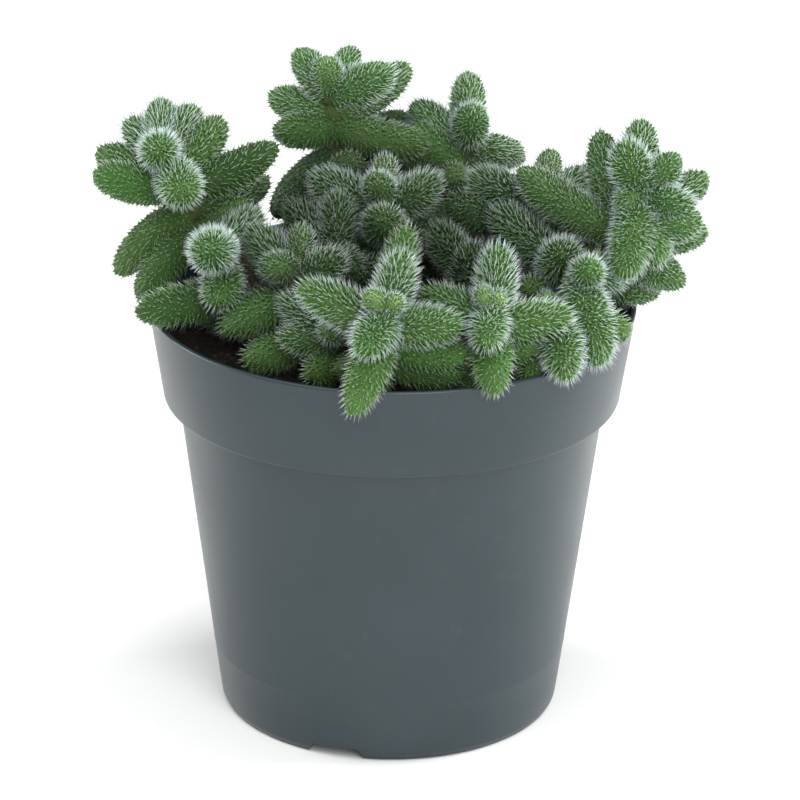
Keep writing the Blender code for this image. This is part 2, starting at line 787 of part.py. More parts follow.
def add_bristles(bm, leaf, leaves, stem_names, stem_points):
    """Raise a three-sided bristle from evenly spread faces, shorter where a neighbour is near."""
    chosen = bristle_faces(bm, leaf)
    middles = np.array([middle for _, middle, _ in chosen])
    rooms = room_around(middles, leaf, leaves, stem_names, stem_points)
    for (face, _, along), room in zip(chosen, rooms):
        length = min(BRISTLE_LENGTH, room - GAP / 2)
        inner_radius = 2 * face.calc_area() / sum(edge.calc_length() for edge in face.edges)
        if length < BRISTLE_SHORTEST or inner_radius < LEAST_FACE_SHARE * BRISTLE_BASE * MM:
            continue
        out = unit(np.array(face.normal) + BRISTLE_LEAN * along)
        bmesh.ops.inset_individual(bm, faces=[face], thickness=inner_radius - BRISTLE_BASE * MM)
        poked = bmesh.ops.poke(bm, faces=[face])
        poked["verts"][0].co += Vector(out) * length * MM


def largest_body(mesh):
    """Keep the mesh's largest body: drop loose scraps and the skins of sealed hollows."""
    bm = bmesh.new()
    bm.from_mesh(mesh)
    bmesh.ops.remove_doubles(bm, verts=bm.verts, dist=WELD / 10)
    left = set(bm.verts)
    bodies = []
    while left:
        body = set()
        front = [left.pop()]
        while front:
            vert = front.pop()
            body.add(vert)
            for edge in vert.link_edges:
                other = edge.other_vert(vert)
                if other in left:
                    left.discard(other)
                    front.append(other)
        bodies.append(body)
    keep = max(bodies, key=len)
    bmesh.ops.delete(bm, geom=[vert for vert in bm.verts if vert not in keep], context="VERTS")
    bmesh.ops.triangulate(bm, faces=bm.faces)
    bm.to_mesh(mesh)
    bm.free()


def make_leafy_stem(name, route, leaves, stem_names, stem_points, parts, joiners):
    """A stem with its leaves and their bristles, joined in one body by one union."""
    stem = new_object(name, stem_mesh(route, 0.0, parts), parts)
    for leaf in leaves:
        if leaf["stem"] != name:
            continue
        bm = leaf_bmesh(leaf)
        add_bristles(bm, leaf, leaves, stem_names, stem_points)
        mesh = bpy.data.meshes.new("leaf")
        bm.to_mesh(mesh)
        bm.free()
        new_object("leaf", mesh, joiners)
    join = stem.modifiers.new("join", "BOOLEAN")
    join.operation = "UNION"
    join.solver = "EXACT"
    join.operand_type = "COLLECTION"
    join.collection = joiners
    apply_modifiers(stem)
    largest_body(stem.data)
    for thing in list(joiners.objects):
        bpy.data.objects.remove(thing, do_unlink=True)
    return stem


def main():
    remove_everything()
    parts = new_collection(OBJECT_NAME)
    cutters = new_collection("cutters")
    joiners = new_collection("joiners")
    pot_plastic = plain_material("pot_plastic", (0.085, 0.105, 0.115), 0.42)
    potting_soil = plain_material("potting_soil", (0.030, 0.020, 0.014), 0.95)
    leaf_green = plain_material("leaf_green", (0.075, 0.190, 0.045), 0.55)

    pot = make_pot(parts, cutters)
    pot.data.materials.append(pot_plastic)
    shade_round(pot)
    soil = make_soil(parts, cutters)
    soil.data.materials.append(potting_soil)

    stem_names, stem_points = stem_lines()
    leaves = cleared_leaves()
    for name, route in stem_routes().items():
        stem = make_leafy_stem(name, route, leaves, stem_names, stem_points, parts, joiners)
        stem.data.materials.append(leaf_green)
        shade_round(stem)


main()
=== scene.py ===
"""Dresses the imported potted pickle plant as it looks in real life.

It makes a satin nursery pot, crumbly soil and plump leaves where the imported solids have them,
fine white bristles on the leaves, and a pale stage with the camera that looks at it.
The file is laid out as an add-on: each piece has an operator, and main() calls them in order.
Lengths in the layout are in millimetres, and become metres where a mesh is made.
"""

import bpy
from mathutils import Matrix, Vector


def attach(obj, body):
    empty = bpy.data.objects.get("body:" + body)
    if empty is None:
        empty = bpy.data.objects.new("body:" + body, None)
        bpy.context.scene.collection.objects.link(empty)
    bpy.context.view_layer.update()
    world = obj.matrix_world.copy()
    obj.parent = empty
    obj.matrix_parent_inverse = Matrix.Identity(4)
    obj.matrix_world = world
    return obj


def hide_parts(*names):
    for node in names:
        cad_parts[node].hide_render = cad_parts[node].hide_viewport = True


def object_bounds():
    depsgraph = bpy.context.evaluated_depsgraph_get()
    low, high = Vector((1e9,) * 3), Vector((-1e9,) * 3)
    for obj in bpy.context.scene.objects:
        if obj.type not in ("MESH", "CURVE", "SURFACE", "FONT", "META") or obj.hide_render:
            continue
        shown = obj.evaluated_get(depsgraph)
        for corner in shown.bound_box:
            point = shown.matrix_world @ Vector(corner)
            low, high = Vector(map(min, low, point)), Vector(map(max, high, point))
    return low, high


bl_info = {
    "name": "Potted Pickle Plant",
    "version": (1, 0, 0),
    "blender": (4, 5, 0),
    "location": "View3D > Sidebar > Plant",
    "description": "A bristly succulent in a nursery pot",
    "category": "Object",
}

import math

import bmesh
import bpy
import numpy as np
from mathutils import Matrix, Vector

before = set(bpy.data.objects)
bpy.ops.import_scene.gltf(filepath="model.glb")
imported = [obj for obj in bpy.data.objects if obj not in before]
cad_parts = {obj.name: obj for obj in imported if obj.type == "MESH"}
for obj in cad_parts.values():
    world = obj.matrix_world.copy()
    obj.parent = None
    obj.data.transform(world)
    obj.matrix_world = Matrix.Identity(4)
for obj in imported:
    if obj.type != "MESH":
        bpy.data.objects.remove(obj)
CAD_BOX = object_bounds()

MM = 0.001
SEED = 11

# Pot
POT_HEIGHT = 92.1
RIM_RADIUS = 52.5
COLLAR_FOOT_RADIUS = 49.2
COLLAR_FOOT_HEIGHT = 71.2
BODY_TOP_RADIUS = 46.1
BODY_LOW_RADIUS = 37.4
BODY_LOW_HEIGHT = 6.0
FOOT_RADIUS = 36.0
FOOT_INSIDE_RADIUS = 34.4
WALL = 1.2
PAD_RADIUS = 19.0
BASE_RISE = 2.2
BASE_DRAFT = 0.6
NOTCH_COUNT = 3
NOTCH_FIRST_ANGLE = -108.0
NOTCH_WIDTH = 14.8
NOTCH_SLANT = 2.2
NOTCH_DEPTH = 3.5
DRAIN_COUNT = 6
DRAIN_RADIUS = 2.6
DRAIN_RING_RADIUS = 27.0

# Soil
SOIL_TOP = 84.0
SOIL_EDGE_DROP = 1.2
GAP = 0.3

# Stems and leaves
STEM_RADIUS = 1.5
STEM_FOOT_RADIUS = 1.9
STEM_TAPER_HEIGHT = 20.0
STEM_LINE_STEPS = 8
LEAF_RADIUS_LIMIT = 4.0
LEAF_RADIUS_START = 1.0
LEAF_RADIUS_GROWTH = 0.19
LEAF_NECK = 0.66
LEAF_NECK_POWER = 0.7
LEAF_FULL_FROM = 0.35
LEAF_NOSE_FROM = 0.5
POINTED_NOSE_FROM = 0.3
POINTED_IN_FRONT_OF = -25.0
LEAF_NOSE_POWER = 2.1
LEAF_BOW = 0.05
HANGING = -3.0
FACING_LEAF_SHARE = 0.9
TINY = 1e-9

# Room between neighbours
LEAF_GAP = 0.6
WALL_GAP = 0.6
CLEARING_PLACES = np.array((0.12, 0.3, 0.48, 0.64, 0.8, 0.93))
CLEARING_ROUNDS = 140
CLEARING_DONE = 0.02
IN_WALL = 0.05
SWING_SHARE = 0.6
SWING_NEAREST = 0.35
SHRINK_FROM_ROUND = 30
SHRINK_FROM_DEPTH = 0.15
SHRINK_RADIUS = 0.993
SHRINK_LENGTH = 0.997
NO_ROOM = 1.4
STILL_CROWDED = 0.25

# Each stem that the front shows: its route from the soil to the growing tip, then its leaf
# pairs from the tip down. A pair is how far below the tip it grows and where its two leaves
# end. None is a leaf that faces its partner across the stem.
STEMS_IN_FRONT = {
    "leafy_stem_left_top": (
        ((-27, 4, 78), (-35, 2, 97), (-43, 0, 112), (-50, 1, 126)), (
            (0, (-50, 11, 133), (-50, -11, 130)), (2, (-57, 9, 129), (-43, 10, 132)),
            (5, (-44, -18, 123), None), (7, (-65, 6, 123), (-37, 6, 131)),
            (10, (-64, -5, 122), (-25, 3, 126)), (15, (-59, -2, 98), (-27, 10, 116)),
            (20, (-54, -9, 95), (-31, 0, 114)),
        )),
    "leafy_stem_left_front": (
        ((-24, -8, 78), (-33, -10, 94), (-37, -11, 108)), (
            (0, (-39, -27, 114), (-29, -3, 113)), (5, (-36, -25, 101), None),
            (10, (-54, -20, 96), None), (19, (-26, 1, 95), (-43, -2, 92)),
        )),
    "leafy_stem_left_inner": (
        ((-12, -18, 78), (-17, -18, 93), (-21, -17, 106)), (
            (0, (-19, -14, 114), (-27, -23, 109)), (3, (-11, -20, 110), (-30, -11, 112)),
            (8, (-36, -24, 95), None), (15, (-31, -30, 90), None),
        )),
    "leafy_stem_front_left": (
        ((-8, -22, 78), (-11, -28, 89), (-13, -32, 98)), (
            (0, (-23, -27, 103), (-12, -40, 101)), (4, (-23, -33, 97), None),
            (9, (-17, -40, 91), None),
        )),
    "leafy_stem_centre_left": (
        ((-6, -4, 78), (-9, -5, 92), (-12, -5, 105)), (
            (0, (-12, 0, 116), (-8, -14, 104)), (4, (-22, 2, 113), (1, -10, 102)),
        )),
    "leafy_stem_front": (
        ((-2, -26, 78), (-2, -37, 94), (-1, -46, 108)), (
            (0, (-5, -50, 113), (1, -50, 112)), (2, (-6, -58, 104), (2, -40, 118)),
            (5, (-19, -43, 112), (14, -49, 106)), (8, (-8, -61, 90), (3, -32, 121)),
            (12, (16, -46, 98), None), (17, (15, -43, 92), (-12, -40, 92)),
        )),
    "leafy_stem_front_right": (
        ((19, -24, 78), (20, -33, 93), (21, -42, 107)), (
            (0, (18, -44, 112), (22, -44, 111)), (2, (19, -53, 104), (22, -35, 118)),
            (6, (37, -40, 104), (6, -35, 108)), (9, (19, -54, 92), None),
            (14, (31, -39, 97), None),
        )),
    "leafy_stem_front_right_low": (
        ((27, -23, 78), (31, -26, 88), (34, -29, 98)), (
            (0, (37, -46, 92), (32, -25, 104)), (5, (30, -41, 92), None),
        )),
    "leafy_stem_right_low": (
        ((26, -12, 78), (34, -16, 94), (40, -18, 106)), (
            (0, (49, -11, 102), (42, -27, 110)), (3, (41, -37, 92), None),
            (10, (50, -29, 95), None),
        )),
    "leafy_stem_right_top": (
        ((32, 2, 78), (42, 0, 95), (48, -1, 108), (54, -1, 119)), (
            (0, (60, -4, 127), (48, -9, 117)), (2, (49, -5, 130), (63, -9, 117)),
            (4, (53, 7, 131), (48, -21, 106)), (7, (68, 3, 120), (56, -15, 107)),
            (10, (44, 8, 128), None), (12, (67, -4, 110), (26, 1, 121)),
            (17, (62, -7, 99), None), (24, (57, -3, 95), None),
        )),
    "leafy_stem_right_middle": (
        ((24, -5, 78), (30, -5, 92), (35, -4, 103)), (
            (0, (22, 1, 113), (38, -6, 96)), (2, (37, -15, 110), None),
            (4, (43, -9, 100), None), (8, (29, -15, 101), (39, -14, 97)),
        )),
    "leafy_stem_right_inner": (
        ((20, 4, 78), (26, 7, 97), (32, 9, 114)), (
            (0, (34, 13, 122), (31, 1, 112)), (3, (17, 8, 118), (44, 16, 116)),
            (7, (47, 12, 109), (11, 6, 112)),
        )),
    "leafy_stem_back_top": (
        ((-6, 12, 78), (-10, 18, 98), (-12, 23, 116), (-14, 24, 131)), (
            (0, (-15, 20, 140), (-9, 30, 139)), (1, (-21, 26, 141), (-1, 22, 137)),
            (5, (-27, 30, 128), (3, 30, 135)), (8, (-26, 18, 124), (7, 16, 122)),
            (11, (4, 33, 122), (-18, 38, 116)), (14, (-26, 18, 104), None),
        )),
    "leafy_stem_back_right": (
        ((10, 12, 78), (13, 19, 98), (16, 25, 121)), (
            (0, (16, 31, 133), (17, 15, 130)), (3, (4, 30, 126), (28, 26, 115)),
            (7, (3, 22, 123), None), (9, (12, 12, 116), None),
            (12, (1, 21, 117), (27, 23, 109)), (16, (4, 12, 106), (27, 26, 102)),
        )),
    "leafy_stem_centre": (
        ((2, 2, 78), (0, 4, 98), (-2, 4, 114)), (
            (0, (-2, 8, 122), (-4, -3, 121)), (3, (9, 3, 119), (-17, 6, 118)),
            (6, (-3, -13, 115), None), (9, (18, 6, 102), None),
        )),
    "leafy_stem_middle": (
        ((9, -6, 78), (13, -6, 90), (17, -4, 100)), (
            (0, (9, -3, 110), (20, -14, 103)), (4, (22, 4, 104), None),
        )),
}

# Each low stem that other leaves hide from the front: its route, and the turn of its first
# pair of leaves in degrees.
LOW_STEMS = {
    "leafy_stem_low_back_left": (((-20, 16, 78), (-27, 25, 88), (-33, 31, 97)), 20),
    "leafy_stem_low_back": (((-1, 24, 78), (-1, 34, 90), (-2, 41, 102)), 0),
    "leafy_stem_low_back_right": (((24, 18, 78), (31, 26, 89), (37, 31, 101)), 60),
    "leafy_stem_low_left": (((-29, 11, 78), (-31, 14, 89), (-34, 18, 101)), 40),
    "leafy_stem_low_centre": (((9, -16, 78), (10, -18, 88), (11, -20, 96)), 30),
    "leafy_stem_low_right": (((36, 9, 78), (40, 12, 89), (44, 15, 101)), 75),
    "leafy_stem_low_back_inner": (((16, 30, 78), (17, 34, 88), (18, 39, 98)), 45),
}

# The pairs that the front hides: each is a quarter-turn from the one above, longer and
# wider open, down to the soil.
PAIR_OPENING_START = 25
PAIR_OPENING_STEP = 17
PAIR_OPENING_LIMIT = 85
PAIR_LENGTH_START = 7
PAIR_LENGTH_STEP = 3
PAIR_LENGTH_LIMIT = 15
PAIR_SPACING_START = 2.5
PAIR_SPACING_STEP = 0.8
FIRST_HIDDEN_PAIR = 3
TIP_SINK = 1.2
LOWEST_ROOT = SOIL_TOP + 3.0


def unit(vector):
    """A vector of length 1."""
    return vector / np.linalg.norm(vector)


def smooth_route(route, steps):
    """Points along one smooth curve through the route's own points."""
    points = [np.array(place, float) for place in route]
    points = [2 * points[0] - points[1]] + points + [2 * points[-1] - points[-2]]
    line = []
    for a, b, c, d in zip(points, points[1:], points[2:], points[3:]):
        for step in range(steps):
            t = step / steps
            bend = (2 * a - 5 * b + 4 * c - d) * t * t + (3 * b - a - 3 * c + d) * t ** 3
            line.append(0.5 * (2 * b + (c - a) * t + bend))
    line.append(points[-2])
    return np.array(line)


def stem_routes():
    """Every stem's name and its route from the soil to its tip."""
    return {stem: entry[0] for stem, entry in (STEMS_IN_FRONT | LOW_STEMS).items()}


def below_tip(line, down):
    """The place on a stem at a distance below its tip, and which way the stem grows there."""
    for upper, lower in zip(line[::-1], line[-2::-1]):
        reach = np.linalg.norm(lower - upper)
        if down <= reach:
            return upper + (lower - upper) * down / reach, unit(upper - lower)
        down -= reach
    return line[0], unit(line[1] - line[0])


def leaf_radius(length):
    """A longer leaf is thicker, up to a limit."""
    return min(LEAF_RADIUS_LIMIT, LEAF_RADIUS_START + LEAF_RADIUS_GROWTH * length)


def leaf_outline(t, nose):
    """How wide a leaf is along its length, as a share of its full radius. The nose is where it
    starts to narrow to its tip."""
    neck = LEAF_NECK + (1 - LEAF_NECK) * np.clip(t / LEAF_FULL_FROM, 0, 1) ** LEAF_NECK_POWER
    along_nose = np.clip((t - nose) / (1 - nose), 0, 1)
    return neck * np.sqrt(1 - along_nose ** LEAF_NOSE_POWER)


def leaf_line(leaf, t):
    """Points on a leaf's middle line: a hanging leaf arches over, a rising one cups up."""
    reach = leaf["reach"]
    length = np.linalg.norm(reach)
    along = reach / length
    lift = leaf["grows"] - along * np.dot(leaf["grows"], along)
    side = 1 if reach[2] < HANGING else -1
    bow = side * LEAF_BOW * length * 4 * t * (1 - t)
    return leaf["root"] + np.outer(t, reach) + np.outer(bow, lift)


def new_leaf(stem, root, grows, reach, seen):
    """A leaf: where its root is, which way its stem grows there and where it reaches."""
    radius = leaf_radius(np.linalg.norm(reach))
    nose = POINTED_NOSE_FROM if root[1] < POINTED_IN_FRONT_OF else LEAF_NOSE_FROM
    return {
        "stem": stem, "root": root, "grows": grows, "reach": reach, "radius": radius,
        "nose": nose, "seen": seen}


def hidden_pairs(stem, line, down, outward, pair):
    """Leaves by rule from a place on the stem down to the soil."""
    leaves = []
    root, grows = below_tip(line, down)
    while root[2] > LOWEST_ROOT:
        outward = unit(outward - np.dot(outward, grows) * grows)
        opening = min(PAIR_OPENING_START + PAIR_OPENING_STEP * pair, PAIR_OPENING_LIMIT)
        opening = math.radians(opening)
        length = min(PAIR_LENGTH_START + PAIR_LENGTH_STEP * pair, PAIR_LENGTH_LIMIT)
        for side in (1, -1):
            reach = length * (math.cos(opening) * grows + side * math.sin(opening) * outward)
            leaves.append(new_leaf(stem, root, grows, reach, False))
        outward = np.cross(grows, outward)
        down += PAIR_SPACING_START + PAIR_SPACING_STEP * pair
        pair += 1
        root, grows = below_tip(line, down)
    return leaves


def front_stem_leaves(stem, route, pairs):
    """The leaves that the front shows on one stem, then the hidden pairs under them."""
    line = smooth_route(route, STEM_LINE_STEPS)
    leaves = []
    for down, first, second in pairs:
        root, grows = below_tip(line, down)
        reach = np.array(first, float) - root
        leaves.append(new_leaf(stem, root, grows, reach, True))
        if second is None:
            facing = FACING_LEAF_SHARE * (2 * np.dot(reach, grows) * grows - reach)
            leaves.append(new_leaf(stem, root, grows, facing, False))
        else:
            leaves.append(new_leaf(stem, root, grows, np.array(second, float) - root, True))
    down += PAIR_SPACING_START + PAIR_SPACING_STEP * FIRST_HIDDEN_PAIR
    return leaves + hidden_pairs(stem, line, down, np.cross(grows, reach), FIRST_HIDDEN_PAIR)


def low_stem_leaves(stem, route, first_turn):
    """The leaves of a low stem, all by rule."""
    line = smooth_route(route, STEM_LINE_STEPS)
    grows = unit(line[-1] - line[-2])
    level = unit(np.cross(grows, (0.0, 0.0, 1.0)))
    turn = math.radians(first_turn)
    outward = math.cos(turn) * level + math.sin(turn) * np.cross(level, grows)
    return hidden_pairs(stem, line, TIP_SINK, outward, 0)


def all_leaves():
    """The leaves of every stem, before they are cleared of each other."""
    leaves = []
    for stem, (route, pairs) in STEMS_IN_FRONT.items():
        leaves += front_stem_leaves(stem, route, pairs)
    for stem, (route, first_turn) in LOW_STEMS.items():
        leaves += low_stem_leaves(stem, route, first_turn)
    return leaves


def stem_lines():
    """Every stem's points above the soil, with the stem's name beside each."""
    names = []
    points = []
    for stem, route in stem_routes().items():
        for point in smooth_route(route, STEM_LINE_STEPS):
            if point[2] > SOIL_TOP - 1:
                names.append(stem)
                points.append(point)
    return np.array(names), np.array(points)


def deepest(offsets, distances, overlaps):
    """For each point the way out of the neighbour that it is deepest in, and how deep."""
    rows = np.arange(len(overlaps))
    worst = overlaps.argmax(1)
    depth = np.clip(overlaps[rows, worst], 0, None)
    away = offsets[rows, worst] / distances[rows, worst][:, None]
    return away * depth[:, None], depth


def crowding(leaves, stem_names, stem_points):
    """How far each leaf's points must move to stand clear, and how deep they are."""
    centres = np.concatenate([leaf_line(leaf, CLEARING_PLACES) for leaf in leaves])
    radii = np.concatenate([
        leaf["radius"] * leaf_outline(CLEARING_PLACES, leaf["nose"]) for leaf in leaves])
    owners = np.repeat([leaf["stem"] for leaf in leaves], len(CLEARING_PLACES))

    offsets = centres[:, None] - centres[None]
    distances = np.linalg.norm(offsets, axis=2) + TINY
    overlaps = radii[:, None] + radii[None] + LEAF_GAP - distances
    overlaps[owners[:, None] == owners[None]] = 0
    move, depth = deepest(offsets, distances, overlaps)
    options = [(move / 2, depth)]

    offsets = centres[:, None] - stem_points[None]
    distances = np.linalg.norm(offsets, axis=2) + TINY
    overlaps = radii[:, None] + STEM_RADIUS + LEAF_GAP - distances
    overlaps[owners[:, None] == stem_names[None]] = 0
    options.append(deepest(offsets, distances, overlaps))

    out = np.hypot(centres[:, 0], centres[:, 1])
    wall_out = out - np.clip(out, RIM_RADIUS - WALL, RIM_RADIUS)
    wall_up = centres[:, 2] - np.minimum(centres[:, 2], POT_HEIGHT)
    distance = np.hypot(wall_out, wall_up)
    in_wall = distance < IN_WALL
    wall_up[in_wall] = 1
    wall_out[in_wall] = 0
    distance[in_wall] = 1
    depth = np.clip(radii + WALL_GAP - distance, 0, None)
    depth[in_wall] = radii[in_wall] + WALL_GAP
    away = np.column_stack((centres[:, :2] / out[:, None] * wall_out[:, None], wall_up))
    options.append((away / distance[:, None] * depth[:, None], depth))

    depth = np.where(out < RIM_RADIUS - WALL, SOIL_TOP + GAP + radii - centres[:, 2], 0).clip(0, None)
    options.append((np.outer(depth, (0, 0, 1)), depth))

    worst = np.argmax([depth for _, depth in options], axis=0)
    rows = np.arange(len(worst))
    move = np.array([move for move, _ in options])[worst, rows]
    depth = np.array([depth for _, depth in options])[worst, rows]
    shape = (len(leaves), len(CLEARING_PLACES))
    return move.reshape(*shape, 3), depth.reshape(shape)


def swing_clear(leaf, move, depth, shrink):
    """Turn a leaf on its root away from what it is deepest in."""
    place = depth.argmax()
    if depth[place] < CLEARING_DONE:
        return
    length = np.linalg.norm(leaf["reach"])
    swing = SWING_SHARE * move[place] / max(CLEARING_PLACES[place], SWING_NEAREST)
    if shrink and depth[place] > SHRINK_FROM_DEPTH:
        leaf["radius"] *= SHRINK_RADIUS
        length *= SHRINK_LENGTH
    leaf["reach"] = length * unit(leaf["reach"] + swing)


def without_crowded(leaves, stem_names, stem_points, limit):
    """Leave out the hidden leaves that are deeper than the limit in a neighbour."""
    depth = crowding(leaves, stem_names, stem_points)[1].max(1)
    return [leaf for leaf, deep in zip(leaves, depth) if leaf["seen"] or deep < limit]


def cleared_leaves():
    """All leaves, swung on their roots until none crosses another stem, the rim or the soil."""
    stem_names, stem_points = stem_lines()
    leaves = without_crowded(all_leaves(), stem_names, stem_points, NO_ROOM)
    for turn in range(CLEARING_ROUNDS):
        moves, depths = crowding(leaves, stem_names, stem_points)
        if depths.max() < CLEARING_DONE:
            break
        for leaf, move, depth in zip(leaves, moves, depths):
            swing_clear(leaf, move, depth, turn > SHRINK_FROM_ROUND)
    return without_crowded(leaves, stem_names, stem_points, STILL_CROWDED)


# How the fine leaves are swept
LEAF_SUNK = -0.07
LEAF_RINGS = 18
TIP_CROWDING = 1.8
STEM_TIP_WIDTHS = (0.9, 0.45)

# A leaf's age follows from its length, and its down from how far below the tip it grows. Two
# stems are downy further down.
BUD_LENGTH = 6.0
GROWN_LENGTH = 11.0
DOWNY_TO = 3.0
SMOOTHER_FROM = 9.0
LEAST_DOWN = {"leafy_stem_right_top": 0.7, "leafy_stem_right_middle": 0.35}

# Where leaves stand in the shade of others, or are old and on the shaded back of the plant: painted shade that
# darkens their skin and hairs
SHADE_PLACE = 0.6
CANOPY_TOP = 128.0
CANOPY_DEPTH = 19.0
CANOPY_RADIUS = 48.0
CANOPY_WIDTH = 30.0
BACK_FROM = -6.0
BACK_DEPTH = 20.0
OLD_FROM = 4.0
OLD_RANGE = 8.0
STEM_HAIR_SHADE = 0.5
OLD_HAIR_SHADE = 0.3

# Seen leaves that are darkened, by their numbers in LEAVES, and how dark each is: painted shade where they lie in
# the shadow of others, and partly their age
DARK_LEAVES = {
    9: 0.85, 10: 0.4, 11: 0.9, 12: 0.5, 18: 0.65, 19: 0.65, 89: 0.95, 92: 0.95, 99: 0.35,
    100: 0.2, 102: 0.8, 103: 0.8, 105: 0.85, 120: 0.7, 128: 0.4, 132: 0.9, 134: 0.8}

# Where bristles stand: in staggered rings, clear of a leaf's root
BARE_ROOT = 0.4
BUD_SPACING = 0.75
BRISTLY_STEM = 26.0
OUTLINE_STEPS = 60
SLOPE_STEP = 0.01
FEWEST_BRISTLES = 3
ROOT_SINK = 0.05
RING_JITTER = 0.3
OUT_JITTER = 0.16
TIP_LEAN_LOSS = 0.5

# How tall bristles are, as shares of the length that is set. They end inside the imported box,
# and the outermost leaves' tips leave room for them there.
TIP_ROOM = 1.3
BRISTLE_PLACES = (3.0, 9.0, 17.0)
BRISTLE_HEIGHTS = (1.30, 1.0, 0.80)
FULL_BRISTLE_LENGTH = 13.0
SHORTEST_BRISTLE = 0.55
DOWNY_BRISTLE = 1.35
STEM_BRISTLE = 0.7
BACK_BRISTLES = ((0.0, 22.0), (1.0, 0.8))
LEAST_CHANCE = 0.78
MOST_CHANCE = 1.15
BOX_MARGIN = 0.15
LEAST_ROOM = 0.3

# How the finishes mix: the range of most noise, the strongest painted shade on skin and hairs, and the share of a
# bristle's height or the height on a stem where one colour goes over into the next
MOST_NOISE = (0.3, 0.7)
DOWN_HAZE = 0.25
DEEPEST_SKIN_SHADE = 0.95
DEEPEST_HAIR_SHADE = 0.88
HAIR_RISE = (0.18, 0.70)
GREEN_STEM = (0.096, 0.122)
FLECKS = (0.17, 0.32, 0.06, 1.0)
LEAF_JOINTS = (0.06, 0.065, 0.016, 1.0)
DRY_TIPS = (0.16, 0.075, 0.02, 1.0)
DARK_CONES = (0.09, 0.20, 0.03, 1.0)
BARK_CREASES = (0.045, 0.040, 0.020, 1.0)
DUST = (0.08, 0.09, 0.09, 1.0)
FLOOR_CLOUDS = (0.86, 0.86, 0.86, 1.0)

# Waves and steps of the soil's top, and where crumbs lie
SOIL_RINGS = 40
SOIL_TURN_STEPS = 96
SOIL_WAVES = 12
CRUMB_DEPTH = 6.0

# The stage, and the camera as fitted to the photograph's frame of 800 by 800
FLOOR_GAP = 0.0002
LEFT_SHARE = 0.6
LIGHT_AIM = (0.0, 0.0, 0.07)
CAMERA_LENS = 252.4
CAMERA_SHIFT_X = 0.002
CAMERA_ROLL = math.radians(0.62)
CAMERA_TARGET = (0.00148, 0.0, 0.0688)


def count_setting(label, description, default, least, most):
    """A whole number."""
    return bpy.props.IntProperty(name=label, description=description, default=default, min=least, max=most)


def length_setting(label, description, default, least=0.0):
    """A length in metres."""
    return bpy.props.FloatProperty(
        name=label, description=description, default=default, min=least, unit="LENGTH", subtype="DISTANCE")


def colour_setting(label, description, *rgb):
    """A colour that lets no light through."""
    return bpy.props.FloatVectorProperty(
        name=label, description=description, default=(*rgb, 1.0), min=0.0, max=1.0, size=4, subtype="COLOR")


def power_setting(label, description, default):
    """A lamp's power in watts."""
    return bpy.props.FloatProperty(name=label, description=description, default=default, min=0.0, unit="POWER")


class PlantPotSettings(bpy.types.PropertyGroup):
    """Sizes and finish of the nursery pot."""
    turn_steps: count_setting("Steps round", "Flat faces round the pot", 180, 24, 360)
    lip_rounding: length_setting("Lip rounding", "Rounding of the rim's thin lip", 0.0005)
    corner_rounding: length_setting("Corner rounding", "Rounding of the collar's lower corner", 0.0008)
    mould_line_height: length_setting(
        "Mould line height", "Height of the faint line that the mould leaves", 0.014)
    colour: colour_setting("Plastic", "Colour of the pot's plastic", 0.0165, 0.032, 0.038)
    worn_colour: colour_setting(
        "Dull patches", "Colour where the plastic has gone slightly dull", 0.024, 0.040, 0.047)


class PlantSoilSettings(bpy.types.PropertyGroup):
    """Sizes and colours of the soil."""
    crumb_radius: length_setting("Crumb radius", "Radius of a middling crumb", 0.0008, 0.0001)
    crumb_spacing: length_setting("Crumb spacing", "Least distance between crumbs", 0.0014, 0.0003)
    roughness: length_setting("Unevenness", "How far the soil's top rises and falls", 0.0010)
    colour: colour_setting("Peat", "Colour of most of the soil", 0.020, 0.013, 0.009)
    pale_colour: colour_setting("Bark", "Colour of the paler crumbs", 0.10, 0.062, 0.035)


class PlantLeafSettings(bpy.types.PropertyGroup):
    """Sizes and colours of the leaves and stems."""
    sides: count_setting("Sides", "Flat faces round a leaf", 16, 6, 64)
    unevenness: length_setting("Unevenness", "How far a leaf's skin rises and falls", 0.0004)
    unevenness_size: length_setting("Unevenness size", "Width of a leaf's low swellings", 0.0032, 0.0005)
    bud_colour: colour_setting("Buds", "Colour of the youngest leaves", 0.25, 0.39, 0.12)
    grown_colour: colour_setting("Grown leaves", "Colour of grown leaves in the light", 0.060, 0.150, 0.026)
    # Painted shade: leaves deep among the others and on the back go over into this colour, which also stands for
    # old leaves
    old_colour: colour_setting("Old leaves", "Colour of old leaves low on the plant", 0.016, 0.045, 0.010)
    downy_colour: colour_setting("Downy leaves", "Skin colour that shows through the down", 0.12, 0.25, 0.09)
    stem_colour: colour_setting("Young stems", "Colour of the stems near their tips", 0.09, 0.15, 0.03)
    bark_colour: colour_setting("Old stems", "Colour of the stems near the soil", 0.050, 0.034, 0.018)


